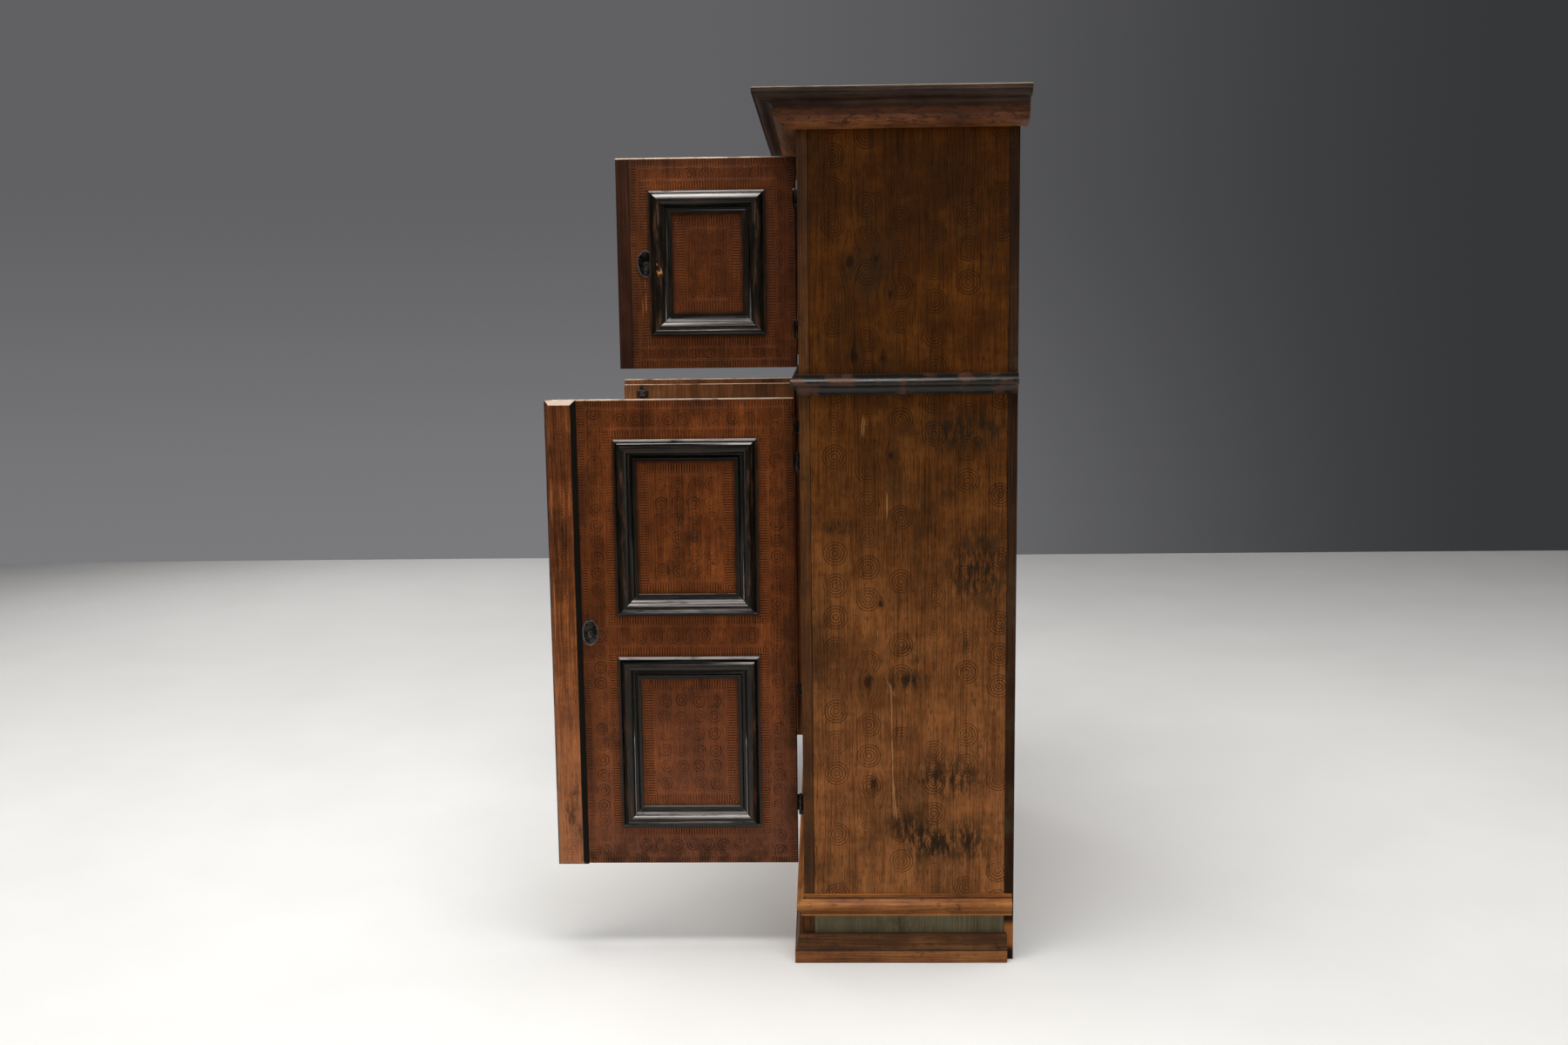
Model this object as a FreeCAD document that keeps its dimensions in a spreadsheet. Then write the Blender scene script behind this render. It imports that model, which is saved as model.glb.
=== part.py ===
import FreeCAD, Part
import math
import os
import re
import Sketcher

# A painted two-stage cupboard: two tall lower doors, two small upper doors beside a fixed panel.
# Millimetres. Origin on the floor, at the middle of the back boards' outer face.
# +X is the right-hand side seen from the front, +Y points to the wall, +Z is up.
# The doors stand open at rest. Each left-hand door is built in the frame of its own hinge
# axis, closed, with x running to its free edge, and is then swung open by its placement.
# Right-hand doors are mirror images of left-hand ones.

SIZES = {
    # Carcass
    "cabinet_width": 1200,
    "cabinet_depth": 465,
    "side_thickness": 24,
    "frame_thickness": 22,
    "back_thickness": 20,
    "back_board_gap": 0.8,
    "board_thickness": 22,
    "board_drop": 6,
    "housing_depth": 8,
    "shelf_thickness": 20,
    "shelf_setback": 60,
    "shelf_side_gap": 1,
    "upper_shelf_rise": 205,
    "lower_shelf_rise": 340,
    "batten_size": 24,
    # Face frame
    "stile_width": 94,
    "bottom_rail_height": 212,
    "lower_opening_height": 1031,
    "waist_rail_height": 90,
    "upper_opening_height": 424,
    "top_rail_height": 121,
    "centre_panel_width": 302,
    "tenon_length": 40,
    "tenon_thickness": 8,
    "tenon_shoulder": 15,
    # Mouldings round the carcass
    "plinth_height": 62,
    "plinth_projection": 21,
    "plinth_back_gap": 15,
    "plinth_fascia": 29,
    "plinth_step": 2,
    "plinth_bevel": 7,
    "frieze_height": 43,
    "base_height": 48,
    "base_projection": 17,
    "base_back_gap": 4,
    "base_torus_height": 22,
    "base_torus_rise": 10,
    "base_fillet": 11,
    "base_seat": 4,
    "waist_lift": 20,
    "waist_height": 44,
    "waist_projection": 19,
    "waist_torus_height": 18,
    "waist_torus_rise": 8,
    "waist_fillet": 8,
    "waist_seat": 4,
    "cove_rise": 3,
    "cornice_lift": 58,
    "cornice_back_overhang": 14,
    "bed_height": 38,
    "bed_seat": 8,
    "bed_projection": 50,
    "bed_rise": 9,
    "bed_fillet": 5,
    "crown_height": 37,
    "crown_step": 4,
    "crown_projection": 90,
    "crown_fillet": 9,
    "crown_rise": 4,
    # Doors
    "door_open_angle": 90,
    "lip_overlap": 12,
    "lip_thickness": 14,
    "plug_thickness": 14,
    "lip_clearance": 0.4,
    "plug_clearance": 3,
    "plug_hinge_clearance": 5,
    "leaf_rounding": 4,
    "upper_leaf_reach": 7,
    "meeting_offset": 12,
    "meeting_gap": 2,
    "astragal_width": 69,
    "astragal_overhang": 16,
    "astragal_thickness": 14.5,
    "astragal_bevel": 11,
    "astragal_relief": 0.6,
    # Panel mouldings
    "lower_panel_margin": 82,
    "lower_panel_free_margin": 80,
    "lower_panel_end": 88,
    "lower_panel_gap": 95,
    "upper_panel_margin": 60,
    "upper_panel_free_margin": 71,
    "upper_panel_end": 70,
    "centre_panel_margin": 45,
    "panel_mould_width": 48,
    "panel_fillet_width": 4,
    "panel_fillet_height": 9,
    "panel_groove_width": 2,
    "panel_groove_depth": 3,
    "panel_round_width": 24,
    "panel_round_rise": 10,
    "panel_round_foot": 9,
    "panel_hollow_rise": 2.5,
    "panel_hollow_foot": 4,
    "panel_bead_width": 6,
    "panel_bead_height": 7,
    # Hinges
    "lower_knuckle_radius": 6,
    "upper_knuckle_radius": 4.5,
    "knuckle_clearance": 0.4,
    "edge_clearance": 1,
    "lower_pin_radius": 3,
    "upper_pin_radius": 2.2,
    "pin_clearance": 0.06,
    "pin_headroom": 3,
    "notch_clearance": 1,
    "lower_strap_height": 36,
    "upper_strap_height": 28,
    "lower_strap_length": 210,
    "upper_strap_length": 150,
    "strap_thickness": 2.5,
    "strap_clearance": 0.4,
    "lower_hinge_inset": 140,
    "upper_hinge_inset": 85,
    "pintle_foot_width": 9,
    "pintle_foot_height": 9,
    "pintle_foot_gap": 0.5,
    "spike_size": 6,
    "spike_length": 18,
    # Locks
    "lower_lock_setback": 6,
    "upper_lock_setback": 6,
    "lock_width": 92,
    "lock_height": 84,
    "lock_wall": 4,
    "lock_bolt_length": 62,
    "lock_bolt_height": 14,
    "lock_bolt_thickness": 8,
    "lock_bolt_rise": 20,
    "lock_bolt_nose": 2,
    "lock_bolt_clearance": 0.5,
    "lower_key_rise": 9,
    "upper_key_rise": 1,
    "key_hole_radius": 3.2,
    "key_slot_width": 3,
    "key_slot_drop": 11,
    "lower_key_margin": 17.5,
    "upper_key_margin": 10,
    "plate_gap": 0.8,
    "plate_half_height": 29,
    "plate_half_width": 18.5,
    "plate_thickness": 1.5,
    "plate_rim_width": 2.5,
    "plate_rim_height": 3.5,
    "keeper_width": 24,
    "keeper_setback": 4,
    "keeper_clearance": 1.5,
    "keeper_wall": 4,
    # Slide bolts on the left lower door
    "slide_setback": 52,
    "slide_width": 13,
    "slide_thickness": 6,
    "slide_length": 170,
    "slide_clearance": 0.5,
    "slide_throw": 18,
    "slide_knob_radius": 6,
    "slide_knob_length": 12,
    "slide_knob_drop": 85,
    "staple_wall": 3,
    "staple_height": 16,
    "staple_inset": 24,
    "staple_foot": 10,
}

PLACES = {
    "half_width": "cabinet_width / 2",
    "front_plane": "-cabinet_depth",
    "frame_back": "front_plane + frame_thickness",
    "board_back": "-back_thickness",
    "opening_edge": "half_width - stile_width",
    "centre_edge": "centre_panel_width / 2",
    "upper_opening_width": "opening_edge - centre_edge",
    "inner_side": "half_width - side_thickness",
    "lower_opening_bottom": "bottom_rail_height",
    "lower_opening_top": "lower_opening_bottom + lower_opening_height",
    "upper_opening_bottom": "lower_opening_top + waist_rail_height",
    "upper_opening_top": "upper_opening_bottom + upper_opening_height",
    "carcass_top": "upper_opening_top + top_rail_height",
    "bottom_board_top": "lower_opening_bottom - board_drop",
    "middle_board_top": "upper_opening_bottom - board_drop",
    "base_bottom": "plinth_height + frieze_height",
    "waist_bottom": "lower_opening_top + waist_lift",
    "bed_bottom": "upper_opening_top + cornice_lift",
    "crown_bottom": "bed_bottom + bed_height",
    "slide_front": "lower_leaf_inside + slide_clearance",
    "slide_back": "slide_front + slide_thickness",
    "slide_place": "lower_left_free - slide_setback",
    "lower_panel_height": "(lower_leaf_top - lower_leaf_bottom - 2 * lower_panel_end - lower_panel_gap) / 2",
    "lower_right_free": "lower_hinge_line + meeting_offset - meeting_gap / 2",
    "lower_left_free": "lower_hinge_line - meeting_offset - meeting_gap / 2",
    "lower_leaf_start": "lower_leaf_edge",
    "upper_leaf_start": "upper_leaf_edge - upper_leaf_reach",
    "upper_free": "upper_leaf_edge + 2 * lip_overlap + upper_opening_width",
    "upper_plug_free": "upper_free - lip_overlap - plug_clearance",
    "lower_panel_start": "lower_leaf_edge + lower_panel_margin",
    "upper_panel_start": "upper_leaf_edge + upper_panel_margin",
    "astragal_start": "lower_right_free + astragal_overhang - astragal_width",
    "lower_panel_width": "astragal_start - lower_panel_free_margin - lower_panel_start",
    "upper_panel_width": "upper_free - upper_panel_free_margin - upper_panel_start",
    "lower_key_place": "astragal_start - lower_key_margin",
    "lower_plate_limit": "astragal_start - plate_gap",
    "upper_key_place": "upper_panel_start + upper_panel_width + upper_key_margin",
    "upper_plate_limit": "upper_panel_start + upper_panel_width + plate_gap",
    "lower_lock_end": "lower_right_free - lower_lock_setback",
    "upper_lock_end": "upper_plug_free - upper_lock_setback",
}

STAGES = ("lower", "upper")

BACK_BOARDS = 5

# How far a cutting block runs past the piece that it cuts.
PAST = 1

# Each door's own frame: x from the hinge axis to the free edge, y from the axis to the back.
for stage in STAGES:
    PLACES[f"{stage}_leaf_edge"] = f"{stage}_knuckle_radius + edge_clearance"
    PLACES[f"{stage}_hinge_line"] = f"opening_edge + lip_overlap + {stage}_leaf_edge"
    PLACES[f"{stage}_frame_face"] = f"{stage}_knuckle_radius + knuckle_clearance"
    PLACES[f"{stage}_hinge_depth"] = f"front_plane - {stage}_frame_face"
    PLACES[f"{stage}_lip_back"] = f"{stage}_frame_face - lip_clearance"
    PLACES[f"{stage}_leaf_face"] = f"{stage}_lip_back - lip_thickness"
    PLACES[f"{stage}_leaf_inside"] = f"{stage}_lip_back + plug_thickness"
    PLACES[f"{stage}_plug_edge"] = f"{stage}_leaf_edge + lip_overlap + plug_hinge_clearance"
    PLACES[f"{stage}_leaf_bottom"] = f"{stage}_opening_bottom - lip_overlap"
    PLACES[f"{stage}_leaf_top"] = f"{stage}_opening_top + lip_overlap"
    PLACES[f"{stage}_plug_bottom"] = f"{stage}_opening_bottom + plug_clearance"
    PLACES[f"{stage}_plug_top"] = f"{stage}_opening_top - plug_clearance"
    PLACES[f"{stage}_hinge_low"] = f"{stage}_leaf_bottom + {stage}_hinge_inset"
    PLACES[f"{stage}_hinge_high"] = f"{stage}_leaf_top - {stage}_hinge_inset"
    PLACES[f"{stage}_key_level"] = f"({stage}_leaf_bottom + {stage}_leaf_top) / 2 + {stage}_key_rise"
    PLACES[f"{stage}_bolt_front"] = f"{stage}_frame_face + frame_thickness + 2 * lock_bolt_clearance"
    PLACES[f"{stage}_bolt_level"] = f"{stage}_key_level + lock_bolt_rise"

doc = FreeCAD.newDocument("Cupboard")
size_sheet = doc.addObject("Spreadsheet::Sheet", "Sizes")
place_sheet = doc.addObject("Spreadsheet::Sheet", "Places")
nodes = []


def fill_sheets():
    """Write the driving sizes as numbers and the worked-out places as formulas."""
    for row, (alias, value) in enumerate(SIZES.items(), start=1):
        size_sheet.set(f"A{row}", alias)
        size_sheet.set(f"B{row}", str(value))
        size_sheet.setAlias(f"B{row}", alias)
    for row, alias in enumerate(PLACES, start=1):
        place_sheet.set(f"A{row}", alias)
        place_sheet.setAlias(f"B{row}", alias)
    for row, text in enumerate(PLACES.values(), start=1):
        place_sheet.set(f"B{row}", "=" + formula(text, own_sheet="Places"))
    doc.recompute()


def formula(text, own_sheet=None):
    """Write its sheet's name before each size or place that the text mentions."""
    def with_sheet(match):
        word = match.group()
        sheet = "Sizes" if word in SIZES else "Places"
        return word if sheet == own_sheet else f"{sheet}.{word}"
    return re.sub(r"[a-z]+(?:_[a-z]+)+", with_sheet, text)


def bind(thing, name, text):
    thing.setExpression(name, formula(text))


def value_of(text):
    return float(size_sheet.evalExpression(formula(text)))


def keep(thing):
    """List a finished sub-part, to be written under its label."""
    nodes.append(thing)
    return thing


def box(label, low, high):
    """A block between two corners, each given as three formulas."""
    thing = doc.addObject("Part::Box", label)
    for axis, side, start, stop in zip("xyz", ("Length", "Width", "Height"), low, high):
        bind(thing, side, f"({stop}) - ({start})")
        bind(thing, f"Placement.Base.{axis}", start)
    return thing


def cylinder(label, centre, radius, height, turn=None):
    """A round bar from a centre point along +Z, or along the turned axis."""
    thing = doc.addObject("Part::Cylinder", label)
    bind(thing, "Radius", radius)
    bind(thing, "Height", height)
    if turn is not None:
        thing.Placement = FreeCAD.Placement(FreeCAD.Vector(), turn)
    for axis, text in zip("xyz", centre):
        bind(thing, f"Placement.Base.{axis}", text)
    return thing


def group(label, pieces):
    thing = doc.addObject("Part::Compound", label)
    thing.Links = pieces
    return thing


def join(label, pieces):
    thing = doc.addObject("Part::MultiFuse", label)
    thing.Shapes = pieces
    return thing


def cut(label, base, tools):
    thing = doc.addObject("Part::Cut", label)
    thing.Base = base
    thing.Tool = tools[0] if len(tools) == 1 else group(f"{label}_cuts", tools)
    return thing


def mirrored(label, source):
    thing = doc.addObject("Part::Mirroring", label)
    thing.Source = source
    thing.Normal = FreeCAD.Vector(1, 0, 0)
    return thing


def both_sides(name, right):
    """Keep a right-hand piece under its label and its mirror image on the left."""
    keep(right)
    keep(mirrored(f"{name}_left", right))


def outline(body, name, plane, offset, path):
    """A closed sketch on one of the body's own planes, moved along that plane's normal.

    The path lists corners as (across, up) or (across, up, rise): with a rise the stretch that
    ends there is an arc standing that far from its chord, to the left of the way if positive.
    """
    sketch = body.newObject("Sketcher::SketchObject", name)
    support = [feature for feature in body.Origin.OriginFeatures if feature.Role == plane][0]
    sketch.AttachmentSupport = [(support, "")]
    sketch.MapMode = "FlatFace"
    bind(sketch, "AttachmentOffset.Base.z", offset)
    corners = [FreeCAD.Vector(value_of(corner[0]), value_of(corner[1]), 0) for corner in path]
    starts = []
    ends = []
    for index in range(len(path)):
        following = (index + 1) % len(path)
        first, last = corners[index], corners[following]
        if len(path[following]) == 2:
            sketch.addGeometry(Part.LineSegment(first, last))
            starts.append(1)
            ends.append(2)
            continue
        rise = value_of(path[following][2])
        chord = last - first
        left = FreeCAD.Vector(-chord.y, chord.x, 0).normalize()
        crest = (first + last) * 0.5 + left * rise
        arc = Part.Arc(first, crest, last).toShape().Curve
        way = (first, last) if rise < 0 else (last, first)
        angles = [math.atan2(end.y - arc.Center.y, end.x - arc.Center.x) for end in way]
        circle = Part.Circle(arc.Center, FreeCAD.Vector(0, 0, 1), arc.Radius)
        sketch.addGeometry(Part.ArcOfCircle(circle, angles[0], angles[1]))
        starts.append(1 if rise < 0 else 2)
        ends.append(2 if rise < 0 else 1)
    for index in range(len(path)):
        following = (index + 1) % len(path)
        joint = Sketcher.Constraint("Coincident", index, ends[index], following, starts[following])
        sketch.addConstraint(joint)
    for index, corner in enumerate(path):
        for way, text, place in zip("XY", corner, corners[index]):
            distance = Sketcher.Constraint(f"Distance{way}", -1, 1, index, starts[index], place)
            bind(sketch, f"Constraints[{sketch.addConstraint(distance)}]", text)
        if len(corner) == 3:
            before = path[index - 1]
            chord = f"(({corner[0]}) - ({before[0]}))^2 + (({corner[1]}) - ({before[1]}))^2"
            radius = f"({chord}) / (8 * abs({corner[2]})) + abs({corner[2]}) / 2"
            round_size = Sketcher.Constraint("Radius", index - 1, value_of(radius))
            bind(sketch, f"Constraints[{sketch.addConstraint(round_size)}]", radius)
    return sketch


def pad(body, sketch, length):
    feature = body.newObject("PartDesign::Pad", f"{sketch.Name}_pad")
    feature.Profile = sketch
    bind(feature, "Length", length)
    return feature


def pocket_through(body, sketch):
    feature = body.newObject("PartDesign::Pocket", f"{sketch.Name}_pocket")
    feature.Profile = sketch
    feature.Type = "ThroughAll"
    return feature


def reflected(path):
    """Send every arc to the other side of its way, as a reflection of the corners asks."""
    return [(*corner[:2], *(f"-({rise})" for rise in corner[2:])) for corner in path]


def new_body(label):
    return doc.addObject("PartDesign::Body", label)


# Carcass boards

def carcass():
    """Side boards with housings, the boards they hold, the back boards and the shelves."""
    housed = "inner_side + housing_depth"
    levels = {
        "bottom_board": "bottom_board_top",
        "middle_board": "middle_board_top",
        "top_board": "carcass_top",
    }
    housings = []
    for name, top in levels.items():
        low = (f"-({housed})", "frame_back", f"{top} - board_thickness")
        high = (housed, "board_back", top)
        keep(box(name, low, high))
        housings.append(box(f"{name}_housing", low, high))
    low = ("inner_side", "frame_back", "0")
    side = box("side_blank", low, ("half_width", "board_back", "carcass_top"))
    both_sides("side", cut("side_right", side, housings))

    planks = []
    for index in range(BACK_BOARDS):
        start = f"-half_width + {index} * cabinet_width / {BACK_BOARDS}"
        low = (f"{start} + {min(index, 1)} * back_board_gap", "board_back", "0")
        high = (f"{start} + cabinet_width / {BACK_BOARDS}", "0", "carcass_top")
        planks.append(box(f"back_board_{index + 1}", low, high))
    keep(group("back_boards", planks))

    shelf_edge = "inner_side - shelf_side_gap"
    shelf_tops = {
        "upper_shelf": "upper_opening_bottom + upper_shelf_rise",
        "lower_shelf_high": "lower_opening_bottom + 2 * lower_shelf_rise",
        "lower_shelf_low": "lower_opening_bottom + lower_shelf_rise",
    }
    shelves = {}
    battens = []
    for name, top in shelf_tops.items():
        front = "frame_back + shelf_setback"
        bottom = f"{top} - shelf_thickness"
        shelves[name] = box(name, (f"-({shelf_edge})", front, bottom), (shelf_edge, "board_back", top))
        low = ("inner_side - batten_size", front, f"{bottom} - batten_size")
        right = box(f"{name}_batten_right", low, ("inner_side", "board_back", bottom))
        battens += [right, mirrored(f"{name}_batten_left", right)]
    keep(shelves["upper_shelf"])
    keep(group("lower_shelves", [shelves["lower_shelf_high"], shelves["lower_shelf_low"]]))
    keep(group("shelf_battens", battens))


# Face frame

def face_frame():
    """Two stiles, three tenoned rails and the fixed panel between the upper doors."""
    rails = {
        "bottom_rail": ("0", "lower_opening_bottom"),
        "waist_rail": ("lower_opening_top", "upper_opening_bottom"),
        "top_rail": ("upper_opening_top", "carcass_top"),
    }
    tenon_front = "front_plane + (frame_thickness - tenon_thickness) / 2"
    mortises = []
    blanks = {}
    for name, (bottom, top) in rails.items():
        low = ("-opening_edge", "front_plane", bottom)
        blank = box(f"{name}_blank", low, ("opening_edge", "frame_back", top))
        ends = (f"{bottom} + tenon_shoulder", f"{top} - tenon_shoulder")
        low = ("-opening_edge - tenon_length", tenon_front, ends[0])
        high = ("opening_edge + tenon_length", f"{tenon_front} + tenon_thickness", ends[1])
        blanks[name] = join(f"{name}_tenoned", [blank, box(f"{name}_tenons", low, high)])
        low = ("opening_edge", tenon_front, ends[0])
        mortises.append(box(f"{name}_mortise", low, high))
    keep(cut("waist_rail", blanks["waist_rail"], [slide_socket("high")]))
    keep(cut("bottom_rail", blanks["bottom_rail"], [slide_socket("low")]))
    blanks["top_rail"].Label = "top_rail"
    keep(blanks["top_rail"])

    sockets = []
    for stage in STAGES:
        for end in ("low", "high"):
            sockets.append(spike(stage, end, f"{stage}_spike_socket_{end}"))
    low = ("opening_edge", "front_plane", "0")
    stile = box("stile_blank", low, ("half_width", "frame_back", "carcass_top"))
    both_sides("stile", cut("stile_right", stile, mortises + sockets))

    low = ("-centre_edge", "front_plane", "upper_opening_bottom")
    keep(box("centre_panel", low, ("centre_edge", "frame_back", "upper_opening_top")))
    sides = ("-centre_edge + centre_panel_margin", "centre_edge - centre_panel_margin")
    ends = ("upper_leaf_bottom + upper_panel_end", "upper_leaf_top - upper_panel_end")
    keep(panel_frame("centre_panel_frame", sides, ends, "front_plane"))


def slide_socket(end):
    """The notch in a rail's back that takes the end of a slide bolt when the door is closed."""
    middle = "slide_place - lower_hinge_line"
    sides = [f"{middle} {sign} (slide_width / 2 + 2 * slide_clearance)" for sign in "-+"]
    front = "lower_hinge_depth + lower_leaf_inside - slide_clearance"
    back = "frame_back + slide_clearance"
    if end == "high":
        levels = ("lower_opening_top - slide_clearance", "lower_opening_top + slide_throw")
    else:
        levels = ("lower_opening_bottom - slide_throw", "lower_opening_bottom + slide_clearance")
    return box(f"slide_socket_{end}", (sides[0], front, levels[0]), (sides[1], back, levels[1]))


# Mouldings round the carcass

def torus_profile(name, bottom, upright):
    """Seat, cove, torus and fillet, from the bottom up or turned over."""
    inner = f"{name}_projection - {name}_torus_rise"
    cove = f"{name}_height - {name}_torus_height - {name}_fillet"
    corners = [
        ("0", "0"),
        (f"{name}_seat", "0"),
        (inner, cove, "cove_rise"),
        (inner, f"{cove} + {name}_torus_height", f"-{name}_torus_rise"),
        (inner, f"{name}_height"),
        ("0", f"{name}_height"),
    ]
    if upright:
        return [(across, f"{bottom} + {up}", *rise) for across, up, *rise in corners]
    top = f"{bottom} + {name}_height"
    return reflected([(across, f"{top} - ({up})", *rise) for across, up, *rise in corners])


def plinth_profile():
    return [
        ("0", "0"),
        ("plinth_projection", "0"),
        ("plinth_projection", "plinth_fascia"),
        ("plinth_projection - plinth_step", "plinth_fascia"),
        ("plinth_projection - plinth_step - plinth_bevel", "plinth_height"),
        ("0", "plinth_height"),
    ]


def bed_profile():
    """The swelling lower half of the cornice."""
    return [
        ("0", "bed_bottom"),
        ("bed_seat", "bed_bottom"),
        ("bed_projection", "crown_bottom - bed_fillet", "-bed_rise"),
        ("bed_projection", "crown_bottom"),
        ("0", "crown_bottom"),
    ]


def crown_profile():
    """The wave of the upper half of the cornice, under its top fillet."""
    foot = "bed_projection - crown_step"
    lip = "crown_projection - crown_step"
    shoulder = "crown_bottom + crown_height - crown_fillet"
    middle = (f"({foot} + {lip}) / 2", f"(crown_bottom + {shoulder}) / 2")
    return [
        ("0", "crown_bottom"),
        (foot, "crown_bottom"),
        (*middle, "crown_rise"),
        (lip, shoulder, "-crown_rise"),
        ("crown_projection", shoulder),
        ("crown_projection", "crown_bottom + crown_height"),
        ("0", "crown_bottom + crown_height"),
    ]


def moulding_run(name, corners, reach, top, back):
    """A front length and two side lengths of one moulding, mitred at the front corners."""
    past = f"{reach} + {PAST}"
    front = new_body(f"{name}_front")
    path = reflected([(f"front_plane - ({corner[0]})", *corner[1:]) for corner in corners])
    section = outline(front, f"{name}_front_section", "YZ_Plane", f"-half_width - ({reach})", path)
    pad(front, section, f"cabinet_width + 2 * ({reach})")
    for sign in ("-", ""):
        hand = "left" if sign else "right"
        ends = [
            (f"{sign}half_width", "front_plane"),
            (f"{sign}(half_width + {past})", f"front_plane - ({past})"),
            (f"{sign}(half_width + {past})", "front_plane"),
        ]
        mitre = outline(front, f"{name}_front_mitre_{hand}", "XY_Plane", f"{top} + {PAST}", ends)
        pocket_through(front, mitre)
    keep(front)

    side = new_body(f"{name}_right")
    path = [(f"half_width + ({corner[0]})", *corner[1:]) for corner in corners]
    section = outline(side, f"{name}_side_section", "XZ_Plane", f"-({back})", path)
    pad(side, section, f"cabinet_depth + {reach} + ({back})")
    ends = [
        ("half_width", "front_plane"),
        (f"half_width + {past}", f"front_plane - ({past})"),
        ("half_width", f"front_plane - ({past})"),
    ]
    pocket_through(side, outline(side, f"{name}_side_mitre", "XY_Plane", f"{top} + {PAST}", ends))
    both_sides(name, side)


def mouldings():
    moulding_run("plinth", plinth_profile(), "plinth_projection", "plinth_height", "-plinth_back_gap")
    profile = torus_profile("base", "base_bottom", False)
    moulding_run("base_moulding", profile, "base_projection", "base_bottom + base_height", "-base_back_gap")
    profile = torus_profile("waist", "waist_bottom", True)
    moulding_run("waist_moulding", profile, "waist_projection", "waist_bottom + waist_height", "0")
    overhang = "cornice_back_overhang"
    moulding_run("cornice_bed", bed_profile(), "bed_projection", "crown_bottom", overhang)
    crown_top = "crown_bottom + crown_height"
    moulding_run("cornice_crown", crown_profile(), "crown_projection", crown_top, overhang)


# Panel mouldings

def panel_section(across, height):
    """The section of a panel moulding: across from its outer edge, height from its seat."""
    groove = "panel_fillet_width + panel_groove_width"
    crest_end = f"{groove} + panel_round_width"
    bead = "panel_mould_width - panel_bead_width"
    corners = [
        ("0", "0"),
        ("0", "panel_fillet_height"),
        ("panel_fillet_width", "panel_fillet_height"),
        (groove, "panel_fillet_height - panel_groove_depth"),
        (crest_end, "panel_round_foot", "panel_round_rise"),
        (bead, "panel_hollow_foot", "-panel_hollow_rise"),
        (bead, "panel_bead_height"),
        ("panel_mould_width", "panel_bead_height"),
        ("panel_mould_width", "0"),
    ]
    return [(across(corner[0]), height(corner[1]), *corner[2:]) for corner in corners]


def swapped(path):
    """Swap across and up, which is a reflection too."""
    return reflected([(corner[1], corner[0], *corner[2:]) for corner in path])


def panel_frame(label, sides, ends, face):
    """Four mitred lengths round a rectangle, standing on a face towards -Y."""
    left, right = sides
    bottom, top = ends
    inset = f"(panel_mould_width + {PAST})"
    before = f"{face} - panel_fillet_height - panel_round_rise - panel_round_foot"

    def out(text):
        return f"{face} - ({text})"

    lengths = {
        "top": ("YZ_Plane", swapped(panel_section(lambda text: f"{top} - ({text})", out))),
        "bottom": ("YZ_Plane", reflected(swapped(panel_section(lambda text: f"{bottom} + {text}", out)))),
        "left": ("XY_Plane", reflected(panel_section(lambda text: f"{left} + {text}", out))),
        "right": ("XY_Plane", panel_section(lambda text: f"{right} - ({text})", out)),
    }
    across = {
        "left": (f"{left} - {PAST}", f"{left} + {inset}"),
        "right": (f"{right} + {PAST}", f"{right} - {inset}"),
    }
    up = {
        "top": (f"{top} + {PAST}", f"{top} - {inset}"),
        "bottom": (f"{bottom} - {PAST}", f"{bottom} + {inset}"),
    }
    pieces = []
    for name, (plane, path) in lengths.items():
        body = new_body(f"{label}_{name}")
        along = (left, right) if plane == "YZ_Plane" else (bottom, top)
        section = outline(body, f"{body.Name}_section", plane, along[0], path)
        pad(body, section, f"({along[1]}) - ({along[0]})")
        for side, (outer_x, inner_x) in across.items():
            for end, (outer_z, inner_z) in up.items():
                if name not in (side, end):
                    continue
                waste = (outer_x, inner_z) if plane == "YZ_Plane" else (inner_x, outer_z)
                triangle = [(outer_x, outer_z), (inner_x, inner_z), waste]
                mitre = f"{body.Name}_mitre_{side}_{end}"
                pocket_through(body, outline(body, mitre, "XZ_Plane", f"-({before})", triangle))
        pieces.append(body)
    return group(label, pieces)


# Doors

def swing(thing, stage):
    """Carry a closed left-hand door piece to its hinge axis and swing it open."""
    thing.Placement = FreeCAD.Placement(FreeCAD.Vector(), FreeCAD.Rotation(FreeCAD.Vector(0, 0, -1), 1))
    bind(thing, "Placement.Rotation.Angle", "door_open_angle")
    bind(thing, "Placement.Base.x", f"-{stage}_hinge_line")
    bind(thing, "Placement.Base.y", f"{stage}_hinge_depth")
    return thing


def hang(label, piece, stage, hand):
    """Keep a swung door piece, mirrored for the right-hand side."""
    swing(piece, stage)
    if hand == "left":
        return keep(piece)
    return keep(mirrored(label, piece))


def own_label(label, hand):
    return label if hand == "left" else f"{label}_left_handed"


def front_face(board):
    """The name of the face that lies furthest towards -Y."""
    doc.recompute()
    faces = board.Shape.Faces
    front = min(range(len(faces)), key=lambda index: faces[index].CenterOfMass.y)
    return f"Face{front + 1}"


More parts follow.
